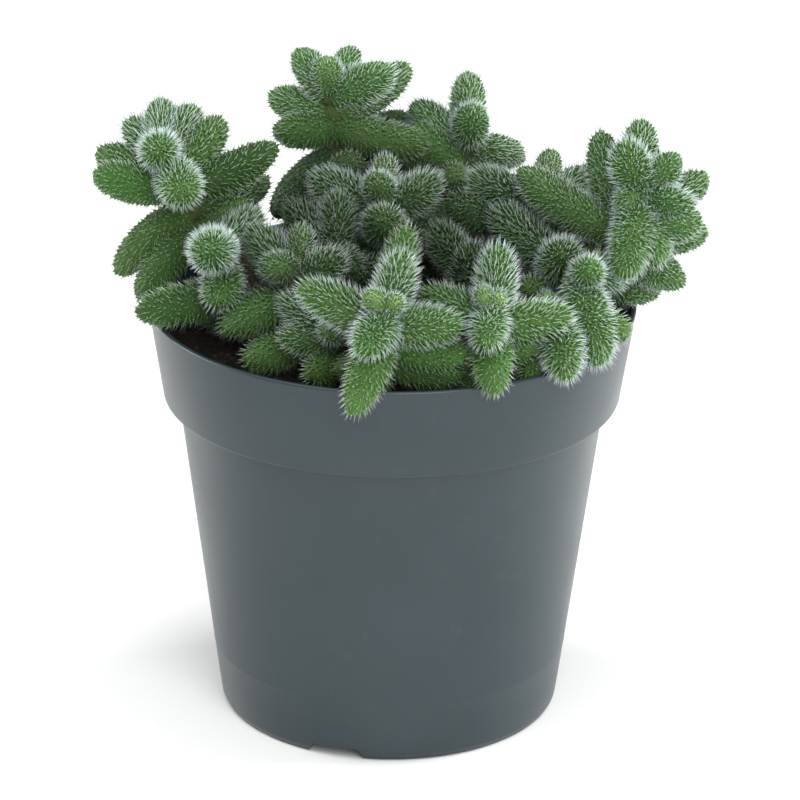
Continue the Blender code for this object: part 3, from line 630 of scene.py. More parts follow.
class PlantBristleSettings(bpy.types.PropertyGroup):
    """Sizes and colours of the bristles."""
    length: length_setting("Length", "Length of a middling bristle", 0.0019, 0.0002)
    root_width: length_setting("Root width", "Width of the green cone under a bristle", 0.00078, 0.0001)
    hair_width: length_setting("Hair width", "Width of the white hair where it leaves its cone", 0.00018, 0.00002)
    bend: length_setting("Bend", "How far a bristle's tip bends towards the leaf's tip", 0.00075)
    downy_spacing: length_setting(
        "Spacing on young leaves", "Distance between bristles near a growing tip", 0.00075, 0.0003)
    grown_spacing: length_setting(
        "Spacing on grown leaves", "Distance between bristles on grown leaves", 0.00104, 0.0003)
    lean: bpy.props.FloatProperty(
        name="Lean", description="How much bristles lean towards the leaf's tip",
        default=0.24, min=0.0, max=2.0, subtype="FACTOR")
    # Painted shade: the colour that hairs in deep shade are darkened to
    old_colour: colour_setting("Hairs of old leaves", "Colour of hairs in deep shade", 0.026, 0.060, 0.020)
    root_colour: colour_setting("Roots", "Colour of the cones under the bristles", 0.165, 0.31, 0.095)
    downy_colour: colour_setting(
        "Hairs on young leaves", "Colour of the hairs near a growing tip", 0.38, 0.51, 0.54)
    grown_colour: colour_setting(
        "Hairs on grown leaves", "Colour of the hairs on grown leaves", 0.24, 0.37, 0.25)


class PlantStageSettings(bpy.types.PropertyGroup):
    """The floor, the lights and the camera."""
    floor_colour: colour_setting("Floor", "Colour of the pale floor", 0.93, 0.93, 0.93)
    surround: bpy.props.FloatProperty(
        name="Surround", description="Strength of the even light from all round", default=0.12, min=0.0)
    key_power: power_setting("Key light", "Power of the large soft light above", 19.5)
    side_power: power_setting("Side lights", "Power of the soft light on the right; the left has a share", 10.5)
    front_power: power_setting("Front light", "Power of the soft light in front", 14.0)
    camera_distance: length_setting(
        "Camera distance", "Distance from the camera to the plant", 1.214, 0.1)
    camera_elevation: bpy.props.FloatProperty(
        name="Camera elevation", description="How far the camera looks down",
        default=math.radians(22.48), unit="ROTATION", subtype="ANGLE")


def leaf_age(leaf):
    """0 for a bud and 1 for a grown leaf."""
    length = np.linalg.norm(leaf["reach"])
    return float(np.clip((length - BUD_LENGTH) / (GROWN_LENGTH - BUD_LENGTH), 0, 1))


def root_below_tip(leaf, route):
    """How far a leaf's root is from its stem's growing tip."""
    return np.linalg.norm(leaf["root"] - np.array(route[-1], float))


def leaf_down(leaf, route):
    """1 for the downy leaves round a growing tip and 0 for those further down the stem."""
    down = np.clip((SMOOTHER_FROM - root_below_tip(leaf, route)) / (SMOOTHER_FROM - DOWNY_TO), 0, 1)
    return float(max(down, LEAST_DOWN.get(leaf["stem"], 0.0)))


def leaf_shade(leaf, route, dark=1.0):
    """How much painted shade darkens a leaf: 0 in the open, and up to 1 deep among the others, for old leaves on
    the shaded back and for the listed dark leaves.
    """
    x, y, z = leaf["root"] + SHADE_PLACE * leaf["reach"]
    low = np.clip((CANOPY_TOP - z) / CANOPY_DEPTH, 0, 1)
    inside = np.clip((CANOPY_RADIUS - math.hypot(x, y)) / CANOPY_WIDTH, 0, 1)
    behind = np.clip((y - BACK_FROM) / BACK_DEPTH, 0, 1)
    old = np.clip((root_below_tip(leaf, route) - OLD_FROM) / OLD_RANGE, 0, 1)
    return float(max(low * inside, behind * old, dark * leaf["dark"]))


def stem_line(route):
    """A stem's points and its width at each, rounded off at the growing tip."""
    points = smooth_route(route, STEM_LINE_STEPS)
    share = np.clip((points[:, 2] - SOIL_TOP) / STEM_TAPER_HEIGHT, 0, 1)
    widths = STEM_FOOT_RADIUS + share * (STEM_RADIUS - STEM_FOOT_RADIUS)
    widths[-2:] *= STEM_TIP_WIDTHS
    return points, widths


def leaf_sweep(leaf):
    """A leaf's middle line and its width, with points close together at its blunt tip."""
    s = np.linspace(0, 1, LEAF_RINGS)
    t = LEAF_SUNK + (1 - LEAF_SUNK) * (1 - (1 - s) ** TIP_CROWDING)
    return leaf_line(leaf, t), leaf["radius"] * leaf_outline(t, leaf["nose"]), t


def keep_values(mesh, values, kind="FLOAT", part="value"):
    """Store values on a mesh's points."""
    for name, held in values.items():
        data = mesh.attributes.new(name, kind, "POINT").data
        data.foreach_set(part, held.astype(np.float32).ravel())


def line_mesh(name, lines):
    """A mesh of open lines. Each line is its points and a dictionary of the values kept on them."""
    points = np.concatenate([line[0] for line in lines]) * MM
    edges = []
    start = 0
    for line, _ in lines:
        edges += [(start + step, start + step + 1) for step in range(len(line) - 1)]
        start += len(line)
    mesh = bpy.data.meshes.new(name)
    mesh.from_pydata(points.tolist(), edges, [])
    keep_values(mesh, {
        value: np.concatenate([np.broadcast_to(values[value], len(line)) for line, values in lines])
        for value in lines[0][1]})
    return mesh


def stem_and_leaf_lines(stem, route, leaves, rng):
    """A stem's line and its leaves' lines, each with the values that its finish reads."""
    points, widths = stem_line(route)
    lines = [(points, {
        "width": widths * MM, "woody": 1.0, "age": 1.0, "shade": 0.0, "down": 0.0, "tint": 0.0,
        "place": 0.0})]
    for leaf in leaves:
        if leaf["stem"] == stem:
            points, widths, t = leaf_sweep(leaf)
            lines.append((points, {
                "width": widths * MM, "woody": 0.0, "age": leaf_age(leaf),
                "shade": leaf_shade(leaf, route), "down": leaf_down(leaf, route),
                "tint": rng.uniform(-1, 1), "place": np.clip(t, 0, 1)}))
    return lines


def ring_of_bristles(point, along, across, width, slope, spacing, lean, half_turn, rng):
    """Roots and directions of one ring of bristles round a line."""
    side = unit(np.cross(along, across) + TINY)
    up = np.cross(side, along)
    count = max(FEWEST_BRISTLES, round(math.tau * width / spacing))
    turns = np.arange(count) + half_turn + rng.uniform(-RING_JITTER, RING_JITTER, count)
    turns = turns * math.tau / count
    ring = np.outer(np.cos(turns), side) + np.outer(np.sin(turns), up)
    slide = rng.uniform(-RING_JITTER, RING_JITTER, count) * spacing
    roots = point + (width - ROOT_SINK - slope * slide)[:, None] * ring + slide[:, None] * along
    skin = ring + slope * along
    skin /= np.linalg.norm(skin, axis=1)[:, None]
    outs = skin + lean * along + rng.normal(0, OUT_JITTER, (count, 3))
    outs /= np.linalg.norm(outs, axis=1)[:, None]
    return roots, outs, np.broadcast_to(along, (count, 3))


def leaf_bristles(leaf, down, settings, rng):
    """One leaf's bristles, in staggered rings: roots, directions and ways to the leaf's tip."""
    length = np.linalg.norm(leaf["reach"])
    spacing = (settings.grown_spacing + down * (settings.downy_spacing - settings.grown_spacing)) / MM
    spacing *= BUD_SPACING + (1 - BUD_SPACING) * leaf_age(leaf)
    t = 1 - (1 - np.linspace(0, 1, OUTLINE_STEPS)) ** 2
    t = t[t >= BARE_ROOT / length]
    radius = leaf["radius"] * leaf_outline(t, leaf["nose"])
    steps = np.hypot(np.diff(t) * length, np.diff(radius))
    along_skin = np.concatenate(([0.0], np.cumsum(steps)))
    rings = max(FEWEST_BRISTLES, round(along_skin[-1] / spacing))
    places = np.interp((np.arange(rings) + 0.5) / rings * along_skin[-1], along_skin, t)
    found = []
    for ring, place in enumerate(places):
        point, ahead = leaf_line(leaf, np.array((place - SLOPE_STEP, place + SLOPE_STEP)))
        here, next_radius = leaf["radius"] * leaf_outline(
            np.array((place, min(place + SLOPE_STEP, 1.0))), leaf["nose"])
        slope = (here - next_radius) / (SLOPE_STEP * length)
        lean = settings.lean * (1 - TIP_LEAN_LOSS * place)
        found.append(ring_of_bristles(
            (point + ahead) / 2, unit(ahead - point), leaf["grows"], here, slope, spacing, lean,
            0.5 * (ring % 2), rng))
    return [np.concatenate(entries) for entries in zip(*found)]


def stem_bristles(route, settings, rng):
    """The bristles on the young part of a stem."""
    points, widths = stem_line(route)
    spacing = settings.grown_spacing / MM
    steps = np.linalg.norm(np.diff(points, axis=0), axis=1)
    below = np.concatenate((np.cumsum(steps[::-1])[::-1], [0.0]))
    found = []
    for ring, down in enumerate(np.arange(spacing, BRISTLY_STEM, spacing)):
        near, far = (
            np.array([np.interp(at, below[::-1], points[::-1, axis]) for axis in range(3)])
            for at in (down, down + 1))
        width = np.interp(down, below[::-1], widths[::-1])
        found.append(ring_of_bristles(
            near, unit(near - far), np.array((1.0, 0.0, 0.0)), width, 0.0, spacing, settings.lean,
            0.5 * (ring % 2), rng))
    return [np.concatenate(entries) for entries in zip(*found)]


def box_inside(margin):
    """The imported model's box in millimetres, drawn in by a margin. It ends at the floor."""
    low, high = (np.array(corner) / MM for corner in CAD_BOX)
    return low + (margin, margin, 0.0), high - margin


def leaves_in_box(leaves):
    """Draw in the tips of the outermost leaves, so that their bristles end inside the box."""
    for number, leaf in enumerate(leaves):
        tip = np.clip(leaf["root"] + leaf["reach"], *box_inside(TIP_ROOM))
        leaf["reach"] = tip - leaf["root"]
        # Each leaf's share of the listed darkening: painted shade, and partly age
        leaf["dark"] = DARK_LEAVES.get(number, 0.0)
    return leaves


def room_in_box(roots, reaches):
    """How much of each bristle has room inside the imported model's box."""
    low, high = box_inside(BOX_MARGIN)
    tips = roots + reaches
    over = np.maximum(np.maximum(tips - high, low - tips), 0)
    return np.clip(1 - (over / np.maximum(np.abs(reaches), TINY)).max(1), 0, 1)


def bristle_height(leaf, route):
    """How tall a leaf's bristles are, as a share of the length that is set."""
    tall = np.interp(root_below_tip(leaf, route), BRISTLE_PLACES, BRISTLE_HEIGHTS)
    tall *= np.clip(np.linalg.norm(leaf["reach"]) / FULL_BRISTLE_LENGTH, SHORTEST_BRISTLE, 1)
    tall = max(tall, DOWNY_BRISTLE * LEAST_DOWN.get(leaf["stem"], 0.0))
    return tall * np.interp(leaf["root"][1], *BACK_BRISTLES)


def bristle_mesh(name, route, leaves, settings, rng):
    """One point for each bristle of a stem and its leaves, with its direction and height."""
    # The stem's bristles carry a fixed painted shade; each leaf's hairs take their leaf's painted shade, with a
    # share of the listed darkening
    groups = [(stem_bristles(route, settings, rng), 0.0, STEM_BRISTLE, STEM_HAIR_SHADE)]
    for leaf in leaves:
        down = leaf_down(leaf, route)
        shade = leaf_shade(leaf, route, OLD_HAIR_SHADE)
        groups.append((leaf_bristles(leaf, down, settings, rng), down, bristle_height(leaf, route), shade))
    roots, outs, alongs = (np.concatenate([group[0][part] for group in groups]) for part in range(3))
    down, tall, shade = (
        np.concatenate([np.full(len(group[0][0]), group[part]) for group in groups]) for part in (1, 2, 3))
    longest = outs * tall[:, None] * MOST_CHANCE * settings.length / MM
    tall *= room_in_box(roots, longest + alongs * settings.bend / MM)
    kept = tall > LEAST_ROOM
    mesh = bpy.data.meshes.new(name)
    mesh.from_pydata((roots[kept] * MM).tolist(), [], [])
    keep_values(mesh, {"out": outs[kept], "along": alongs[kept]}, "FLOAT_VECTOR", "vector")
    keep_values(mesh, {"tall": tall[kept], "down": down[kept], "shade": shade[kept]})
    return mesh


def new_object(name, mesh):
    """An object in the scene."""
    thing = bpy.data.objects.new(name, mesh)
    bpy.context.scene.collection.objects.link(thing)
    return thing


def made_plain(thing):
    """Turn an object with modifiers into a plain mesh, and clear the modifiers."""
    bpy.context.view_layer.update()
    mesh = bpy.data.meshes.new_from_object(thing.evaluated_get(bpy.context.evaluated_depsgraph_get()))
    thing.modifiers.clear()
    thing.data = mesh
    mesh.name = thing.name
    if not mesh.polygons:
        raise RuntimeError(f"{thing.name} came out empty")
    return thing


def new_tree(name, kind, sockets):
    """A node tree. Each socket is its label, its side, its kind and its default or None."""
    tree = bpy.data.node_groups.new(name, kind)
    for label, side, socket_kind, default in sockets:
        socket = tree.interface.new_socket(label, in_out=side, socket_type=socket_kind)
        if default is not None:
            socket.default_value = default
    return tree


def fill(tree, node, inputs):
    """Set a node's inputs, as values or as links from other nodes."""
    for name, value in dict(inputs).items():
        if isinstance(value, bpy.types.NodeSocket):
            tree.links.new(value, node.inputs[name])
        else:
            node.inputs[name].default_value = value
    return node


def add(tree, kind, inputs=(), **settings):
    """A node with its settings and its inputs."""
    node = tree.nodes.new(kind)
    for name, value in settings.items():
        setattr(node, name, value)
    return fill(tree, node, inputs)


def maths(tree, operation, *values):
    """What a sum gives."""
    return add(tree, "ShaderNodeMath", enumerate(values), operation=operation).outputs[0]


def kept_value(tree, name, kind="FLOAT"):
    """A value that was stored on the points."""
    return add(tree, "GeometryNodeInputNamedAttribute", {"Name": name}, data_type=kind).outputs[0]


def place_parts(tree, of="GeometryNodeInputPosition"):
    """The X, Y and Z of a point's place, or of its normal."""
    return add(tree, "ShaderNodeSeparateXYZ", {0: add(tree, of).outputs[0]}).outputs


def smoothed(tree, geometry):
    """Geometry that is shaded smooth."""
    return add(tree, "GeometryNodeSetShadeSmooth", {"Geometry": geometry}).outputs[0]


def real_and_finished(tree, geometry, finish):
    """Real geometry with one finish, as each tree ends."""
    real = add(tree, "GeometryNodeRealizeInstances", {"Geometry": geometry}).outputs[0]
    return add(tree, "GeometryNodeSetMaterial", {"Geometry": real, "Material": finish}).outputs[0]


def add_tree_modifier(thing, tree, values):
    """Put a node tree on an object, with its inputs set by their identifiers."""
    modifier = thing.modifiers.new(tree.name, "NODES")
    modifier.node_group = tree
    for socket in tree.interface.items_tree:
        if socket.in_out == "INPUT" and socket.name in values:
            modifier[socket.identifier] = values[socket.name]
    return thing


def swept_lines_tree():
    """Sweeps round tubes of changing width along lines, and makes their skin slightly uneven."""
    tree = new_tree("swept_lines", "GeometryNodeTree", (
        ("Geometry", "INPUT", "NodeSocketGeometry", None),
        ("Sides", "INPUT", "NodeSocketInt", 20),
        ("Unevenness", "INPUT", "NodeSocketFloat", 0.0003),
        ("Unevenness Size", "INPUT", "NodeSocketFloat", 0.003),
        ("Leaf Finish", "INPUT", "NodeSocketMaterial", None),
        ("Stem Finish", "INPUT", "NodeSocketMaterial", None),
        ("Geometry", "OUTPUT", "NodeSocketGeometry", None)))
    given = add(tree, "NodeGroupInput").outputs
    curve = add(tree, "GeometryNodeMeshToCurve", {"Mesh": given["Geometry"]}).outputs[0]
    ring = add(tree, "GeometryNodeCurvePrimitiveCircle", {
        "Resolution": given["Sides"], "Radius": 1.0}).outputs[0]
    tube = add(tree, "GeometryNodeCurveToMesh", {
        "Curve": curve, "Profile Curve": ring, "Scale": kept_value(tree, "width"),
        "Fill Caps": True}).outputs[0]
    closed = add(tree, "GeometryNodeMergeByDistance", {"Geometry": tube, "Distance": 0.00001}).outputs[0]
    frequency = maths(tree, "DIVIDE", 1.0, given["Unevenness Size"])
    at = add(tree, "GeometryNodeInputPosition").outputs[0]
    noise = add(tree, "ShaderNodeTexNoise", {"Vector": at, "Scale": frequency, "Detail": 1.0}).outputs["Fac"]
    rise = maths(tree, "MULTIPLY", maths(tree, "SUBTRACT", noise, 0.5), given["Unevenness"])
    normal = add(tree, "GeometryNodeInputNormal").outputs[0]
    offset = add(tree, "ShaderNodeVectorMath", {0: normal, "Scale": rise}, operation="SCALE").outputs[0]
    uneven = add(tree, "GeometryNodeSetPosition", {"Geometry": closed, "Offset": offset}).outputs[0]
    leaf = real_and_finished(tree, smoothed(tree, uneven), given["Leaf Finish"])
    woody = add(tree, "FunctionNodeCompare", {
        0: kept_value(tree, "woody"), 1: 0.5}, operation="GREATER_THAN")
    stem = add(tree, "GeometryNodeSetMaterial", {
        "Geometry": leaf, "Selection": woody.outputs[0], "Material": given["Stem Finish"]}).outputs[0]
    add(tree, "NodeGroupOutput", {"Geometry": stem})
    return tree


def bristles_tree():
    """Stands a bent bristle on every point: a low cone that narrows to a fine hair."""
    tree = new_tree("bristles", "GeometryNodeTree", (
        ("Geometry", "INPUT", "NodeSocketGeometry", None),
        ("Length", "INPUT", "NodeSocketFloat", 0.0015),
        ("Root Width", "INPUT", "NodeSocketFloat", 0.0005),
        ("Hair Width", "INPUT", "NodeSocketFloat", 0.00016),
        ("Bend", "INPUT", "NodeSocketFloat", 0.0003),
        ("Seed", "INPUT", "NodeSocketInt", SEED),
        ("Finish", "INPUT", "NodeSocketMaterial", None),
        ("Geometry", "OUTPUT", "NodeSocketGeometry", None)))
    given = add(tree, "NodeGroupInput").outputs
    cone = add(tree, "GeometryNodeMeshCone", {
        "Vertices": 3, "Side Segments": 2, "Radius Top": 0.0, "Radius Bottom": 1.0, "Depth": 1.0},
        fill_type="NGON").outputs["Mesh"]
    place = place_parts(tree)
    share = maths(tree, "POWER", place["Z"], 1.8)
    left = maths(tree, "MAXIMUM", maths(tree, "SUBTRACT", 1.0, place["Z"]), 0.001)
    on_root = maths(tree, "LESS_THAN", place["Z"], 0.1)
    half_hair = maths(tree, "MULTIPLY", given["Hair Width"], 0.62)
    hair = maths(tree, "MULTIPLY", maths(tree, "POWER", left, 0.6), half_hair)
    root = maths(tree, "MULTIPLY", given["Root Width"], 0.5)
    width = add(tree, "ShaderNodeMix", {0: on_root, 2: hair, 3: root}, data_type="FLOAT").outputs[0]
    wider = maths(tree, "DIVIDE", width, left)
    bent = maths(tree, "MULTIPLY", maths(tree, "POWER", share, 2.0), given["Bend"])
    x = maths(tree, "ADD", maths(tree, "MULTIPLY", place["X"], wider), bent)
    y = maths(tree, "MULTIPLY", place["Y"], wider)
    z = maths(tree, "MULTIPLY", share, given["Length"])
    at = add(tree, "ShaderNodeCombineXYZ", {"X": x, "Y": y, "Z": z}).outputs[0]
    marked = add(tree, "GeometryNodeStoreNamedAttribute", {
        "Geometry": cone, "Name": "rise", "Value": share}, data_type="FLOAT", domain="POINT").outputs[0]
    shaped = add(tree, "GeometryNodeSetPosition", {"Geometry": marked, "Position": at}).outputs[0]
    turn = add(tree, "FunctionNodeAxesToRotation", {
        "Primary Axis": kept_value(tree, "out", "FLOAT_VECTOR"),
        "Secondary Axis": kept_value(tree, "along", "FLOAT_VECTOR")},
        primary_axis="Z", secondary_axis="X").outputs[0]
    chance = add(tree, "FunctionNodeRandomValue", {
        2: LEAST_CHANCE, 3: MOST_CHANCE, "Seed": given["Seed"]}, data_type="FLOAT").outputs[1]
    tall = maths(tree, "MULTIPLY", chance, kept_value(tree, "tall"))
    stout = maths(tree, "POWER", tall, 0.5)
    scale = add(tree, "ShaderNodeCombineXYZ", {"X": stout, "Y": stout, "Z": tall}).outputs[0]
    stood = add(tree, "GeometryNodeInstanceOnPoints", {
        "Points": given["Geometry"], "Instance": smoothed(tree, shaped), "Rotation": turn,
        "Scale": scale}).outputs[0]
    add(tree, "NodeGroupOutput", {"Geometry": real_and_finished(tree, stood, given["Finish"])})
    return tree


def crumbs_tree():
    """Scatters small lumps of many sizes over the upward faces of the soil."""
    tree = new_tree("soil_crumbs", "GeometryNodeTree", (
        ("Geometry", "INPUT", "NodeSocketGeometry", None),
        ("Crumb Radius", "INPUT", "NodeSocketFloat", 0.0008),
        ("Spacing", "INPUT", "NodeSocketFloat", 0.0012),
        ("Seed", "INPUT", "NodeSocketInt", SEED),
        ("Finish", "INPUT", "NodeSocketMaterial", None),
        ("Geometry", "OUTPUT", "NodeSocketGeometry", None)))
    given = add(tree, "NodeGroupInput").outputs
    upward = add(tree, "FunctionNodeCompare", {
        0: place_parts(tree, "GeometryNodeInputNormal")["Z"], 1: 0.6}, operation="GREATER_THAN")
    on_top = add(tree, "FunctionNodeCompare", {
        0: place_parts(tree)["Z"], 1: (SOIL_TOP - CRUMB_DEPTH) * MM}, operation="GREATER_THAN")
    both = add(tree, "FunctionNodeBooleanMath", {
        0: upward.outputs[0], 1: on_top.outputs[0]}, operation="AND")
    points = add(tree, "GeometryNodeDistributePointsOnFaces", {
        "Mesh": given["Geometry"], "Selection": both.outputs[0], "Distance Min": given["Spacing"],
        "Density Max": 900000.0, "Seed": given["Seed"]}, distribute_method="POISSON").outputs[0]
    tone = add(tree, "FunctionNodeRandomValue", {
        2: 0.0, 3: 1.0, "Seed": maths(tree, "ADD", given["Seed"], 1.0)}, data_type="FLOAT").outputs[1]
    toned = add(tree, "GeometryNodeStoreNamedAttribute", {
        "Geometry": points, "Name": "tone", "Value": tone}, data_type="FLOAT", domain="POINT").outputs[0]
    ball = add(tree, "GeometryNodeMeshIcoSphere", {"Radius": 1.0, "Subdivisions": 1}).outputs[0]
    size = add(tree, "FunctionNodeRandomValue", {
        0: (0.45, 0.45, 0.35), 1: (1.6, 1.6, 1.0), "Seed": given["Seed"]},
        data_type="FLOAT_VECTOR").outputs[0]
    scale = add(tree, "ShaderNodeVectorMath", {
        0: size, "Scale": given["Crumb Radius"]}, operation="SCALE").outputs[0]
    spin = add(tree, "FunctionNodeRandomValue", {
        0: (0.0, 0.0, 0.0), 1: (math.tau,) * 3, "Seed": given["Seed"]}, data_type="FLOAT_VECTOR").outputs[0]
    turn = add(tree, "FunctionNodeEulerToRotation", {0: spin}).outputs[0]
    stood = add(tree, "GeometryNodeInstanceOnPoints", {
        "Points": toned, "Instance": ball, "Rotation": turn, "Scale": scale}).outputs[0]
    add(tree, "NodeGroupOutput", {"Geometry": real_and_finished(tree, stood, given["Finish"])})
    return tree


def variation_group():
    """Broad and fine unevenness of one size, as values round a half."""
    if "fine_variation" in bpy.data.node_groups:
        return bpy.data.node_groups["fine_variation"]
    tree = new_tree("fine_variation", "ShaderNodeTree", (
        ("Size", "INPUT", "NodeSocketFloat", 0.002),
        ("Broad", "OUTPUT", "NodeSocketFloat", None),
        ("Fine", "OUTPUT", "NodeSocketFloat", None),
        ("Cells", "OUTPUT", "NodeSocketFloat", None)))
    given = add(tree, "NodeGroupInput").outputs
    at = add(tree, "ShaderNodeTexCoord").outputs["Object"]
    frequency = maths(tree, "DIVIDE", 1.0, given["Size"])
    broad = add(tree, "ShaderNodeTexNoise", {"Vector": at, "Scale": frequency, "Detail": 2.0})
    fine = add(tree, "ShaderNodeTexNoise", {
        "Vector": at, "Scale": maths(tree, "MULTIPLY", frequency, 6.0), "Detail": 3.0})
    cells = add(tree, "ShaderNodeTexVoronoi", {
        "Vector": at, "Scale": maths(tree, "MULTIPLY", frequency, 5.0)}, feature="SMOOTH_F1")
    add(tree, "NodeGroupOutput", {
        "Broad": broad.outputs["Fac"], "Fine": fine.outputs["Fac"], "Cells": cells.outputs["Distance"]})
    return tree


def new_material(name):
    """A material, its node tree and its Principled shader."""
    material = bpy.data.materials.new(name)
    material.use_nodes = True
    tree = material.node_tree
    return material, tree, tree.nodes["Principled BSDF"]


def variation(tree, size):
    """Unevenness of one size in metres, as the outputs of its group."""
    return add(tree, "ShaderNodeGroup", {"Size": size}, node_tree=variation_group()).outputs


def attribute(tree, name):
    """A value that the mesh carries."""
    return add(tree, "ShaderNodeAttribute", attribute_name=name, attribute_type="GEOMETRY").outputs["Fac"]


def mixed(tree, factor, first, second):
    """One colour that goes over into another."""
    return add(tree, "ShaderNodeMix", {0: factor, 6: first, 7: second}, data_type="RGBA").outputs[2]


def mapped(tree, value, low, high, to_low=0.0, to_high=1.0):
    """A value moved from one range into another, and kept inside it."""
    return add(tree, "ShaderNodeMapRange", {
        "Value": value, "From Min": low, "From Max": high, "To Min": to_low, "To Max": to_high}).outputs[0]


def bumped(tree, height, distance):
    """The normal of a finely uneven skin."""
    return add(tree, "ShaderNodeBump", {"Height": height, "Distance": distance, "Strength": 1.0}).outputs[0]


def leaf_finish(settings):
    """Juicy skin: yellower on buds, darkened by painted shade deep among the leaves and on the back of the plant,
    where old leaves darken as well, and brown at leaf joints and some tips.
    """
    material, tree, shader = new_material("leaf_skin")
    skin = variation(tree, 0.0030)
    grain = variation(tree, 0.0010)
    age, tint, place = (attribute(tree, name) for name in ("age", "tint", "place"))
    young = mixed(tree, age, settings.bud_colour, settings.grown_colour)
    haze = maths(tree, "MULTIPLY", attribute(tree, "down"), DOWN_HAZE)
    hazy = mixed(tree, haze, young, settings.downy_colour)
    # Painted shade: where a leaf's shade value is high, its skin goes over into the dark colour set for old
    # leaves, which stands for shade as well
    shade = maths(tree, "MULTIPLY", attribute(tree, "shade"), DEEPEST_SKIN_SHADE)
    aged = mixed(tree, shade, hazy, settings.old_colour)
    varied = add(tree, "ShaderNodeHueSaturation", {
        "Hue": maths(tree, "MULTIPLY_ADD", tint, 0.012, 0.5),
        "Value": maths(tree, "MULTIPLY_ADD", skin["Broad"], 0.5, 0.78), "Color": aged}).outputs[0]
    flecked = mixed(tree, mapped(tree, grain["Cells"], 0.28, 0.05, 0.0, 0.35), varied, FLECKS)
    jointed = mixed(tree, mapped(tree, place, 0.12, 0.0, 0.0, 0.7), flecked, LEAF_JOINTS)
    browned = maths(tree, "MULTIPLY", mapped(tree, tint, 0.75, 0.95, 0.0, 0.6), age)
    tip = maths(tree, "MULTIPLY", mapped(tree, place, 0.985, 1.0), browned)
    fill(tree, shader, {
        "Base Color": mixed(tree, tip, jointed, DRY_TIPS),
        "Roughness": mapped(tree, grain["Fine"], *MOST_NOISE, 0.42, 0.62),
        "Normal": bumped(tree, maths(tree, "SUBTRACT", grain["Fine"], grain["Cells"]), 0.00020),
        "Specular IOR Level": 0.25,
        "Sheen Weight": 0.05, "Sheen Roughness": 0.5, "Sheen Tint": (0.85, 0.97, 1.0, 1.0),
        "Subsurface Weight": 0.12, "Subsurface Radius": (0.5, 1.0, 0.15), "Subsurface Scale": 0.0015})
    return material


def bristle_finish(settings):
    """A pale green cone at the root and a half-clear white hair above it, with painted shade that darkens it deep
    among the leaves.
    """
    material, tree, shader = new_material("bristle_white")
    uneven = variation(tree, 0.004)
    root = mixed(tree, uneven["Broad"], settings.root_colour, DARK_CONES)
    hair = mixed(tree, attribute(tree, "down"), settings.grown_colour, settings.downy_colour)
    lit = mixed(tree, mapped(tree, attribute(tree, "rise"), *HAIR_RISE), root, hair)
    # Painted shade: hairs go over into the colour of shaded hairs as their leaf's shade value rises
    dimmed = mapped(tree, attribute(tree, "shade"), 0.0, 1.0, 0.0, DEEPEST_HAIR_SHADE)
    fill(tree, shader, {
        "Base Color": mixed(tree, dimmed, lit, settings.old_colour),
        "Roughness": mapped(tree, uneven["Fine"], *MOST_NOISE, 0.30, 0.45),
        "Specular IOR Level": 0.2,
        "Subsurface Weight": 0.8, "Subsurface Radius": (1.0, 1.0, 1.0), "Subsurface Scale": 0.0004})
    return material


def stem_finish(settings):
    """Green near the growing tip, brown and finely creased near the soil."""
    material, tree, shader = new_material("stem_bark")
    at = add(tree, "ShaderNodeTexCoord").outputs["Object"]
    height = add(tree, "ShaderNodeSeparateXYZ", {0: at}).outputs["Z"]
    creases = variation(tree, 0.0014)
    uneven = maths(tree, "MULTIPLY_ADD", creases["Broad"], 0.014, height)
    bark = mixed(tree, mapped(tree, uneven, *GREEN_STEM), settings.bark_colour, settings.stem_colour)
    fill(tree, shader, {
        "Base Color": mixed(tree, mapped(tree, creases["Fine"], 0.42, 0.62, 0.0, 0.4), bark, BARK_CREASES),
        "Roughness": mapped(tree, creases["Fine"], *MOST_NOISE, 0.55, 0.75),
        "Normal": bumped(tree, creases["Fine"], 0.00025)})
    return material


def soil_finish(settings):
    """Dark damp peat with paler crumbs."""
    material, tree, shader = new_material("damp_soil")
    grit = variation(tree, 0.0015)
    pale = mapped(tree, attribute(tree, "tone"), 0.72, 1.0, 0.0, 0.8)
    varied = add(tree, "ShaderNodeHueSaturation", {
        "Value": mapped(tree, grit["Fine"], *MOST_NOISE, 0.5, 1.5),
        "Color": mixed(tree, pale, settings.colour, settings.pale_colour)}).outputs[0]
    fill(tree, shader, {
        "Base Color": varied,
        "Roughness": mapped(tree, grit["Broad"], *MOST_NOISE, 0.75, 0.95),
        "Normal": bumped(tree, grit["Fine"], 0.0005)})
    return material


def pot_finish(settings):
    """Satin moulded plastic: a very fine grain and slightly duller, dusty patches."""
    material, tree, shader = new_material("pot_satin")
    patches = variation(tree, 0.022)
    grain = variation(tree, 0.0012)
    dull = mapped(tree, patches["Broad"], 0.35, 0.75, 0.0, 0.7)
    plastic = mixed(tree, dull, settings.colour, settings.worn_colour)
    fill(tree, shader, {
        "Base Color": mixed(tree, mapped(tree, patches["Fine"], 0.60, 0.78, 0.0, 0.12), plastic, DUST),
        "Roughness": mapped(tree, patches["Broad"], *MOST_NOISE, 0.30, 0.38),
        "Normal": bumped(tree, grain["Fine"], 0.00003)})
    return material


def floor_finish(settings):
    """A matt, pale and very slightly cloudy floor."""
    material, tree, shader = new_material("pale_floor")
    cloudy = maths(tree, "MULTIPLY", variation(tree, 0.5)["Broad"], 0.04)
    fill(tree, shader, {
        "Base Color": mixed(tree, cloudy, settings.floor_colour, FLOOR_CLOUDS), "Roughness": 0.9})
    return material


def collar_inside(height):
    """The pot's inner radius beside the collar, above its step."""
    share = (height - COLLAR_FOOT_HEIGHT) / (POT_HEIGHT - COLLAR_FOOT_HEIGHT)
    return COLLAR_FOOT_RADIUS + share * (RIM_RADIUS - COLLAR_FOOT_RADIUS) - WALL


def body_outside(height):
    """The pot's outer radius below its step."""
    share = (height - BODY_LOW_HEIGHT) / (COLLAR_FOOT_HEIGHT - BODY_LOW_HEIGHT)
    return BODY_LOW_RADIUS + share * (BODY_TOP_RADIUS - BODY_LOW_RADIUS)


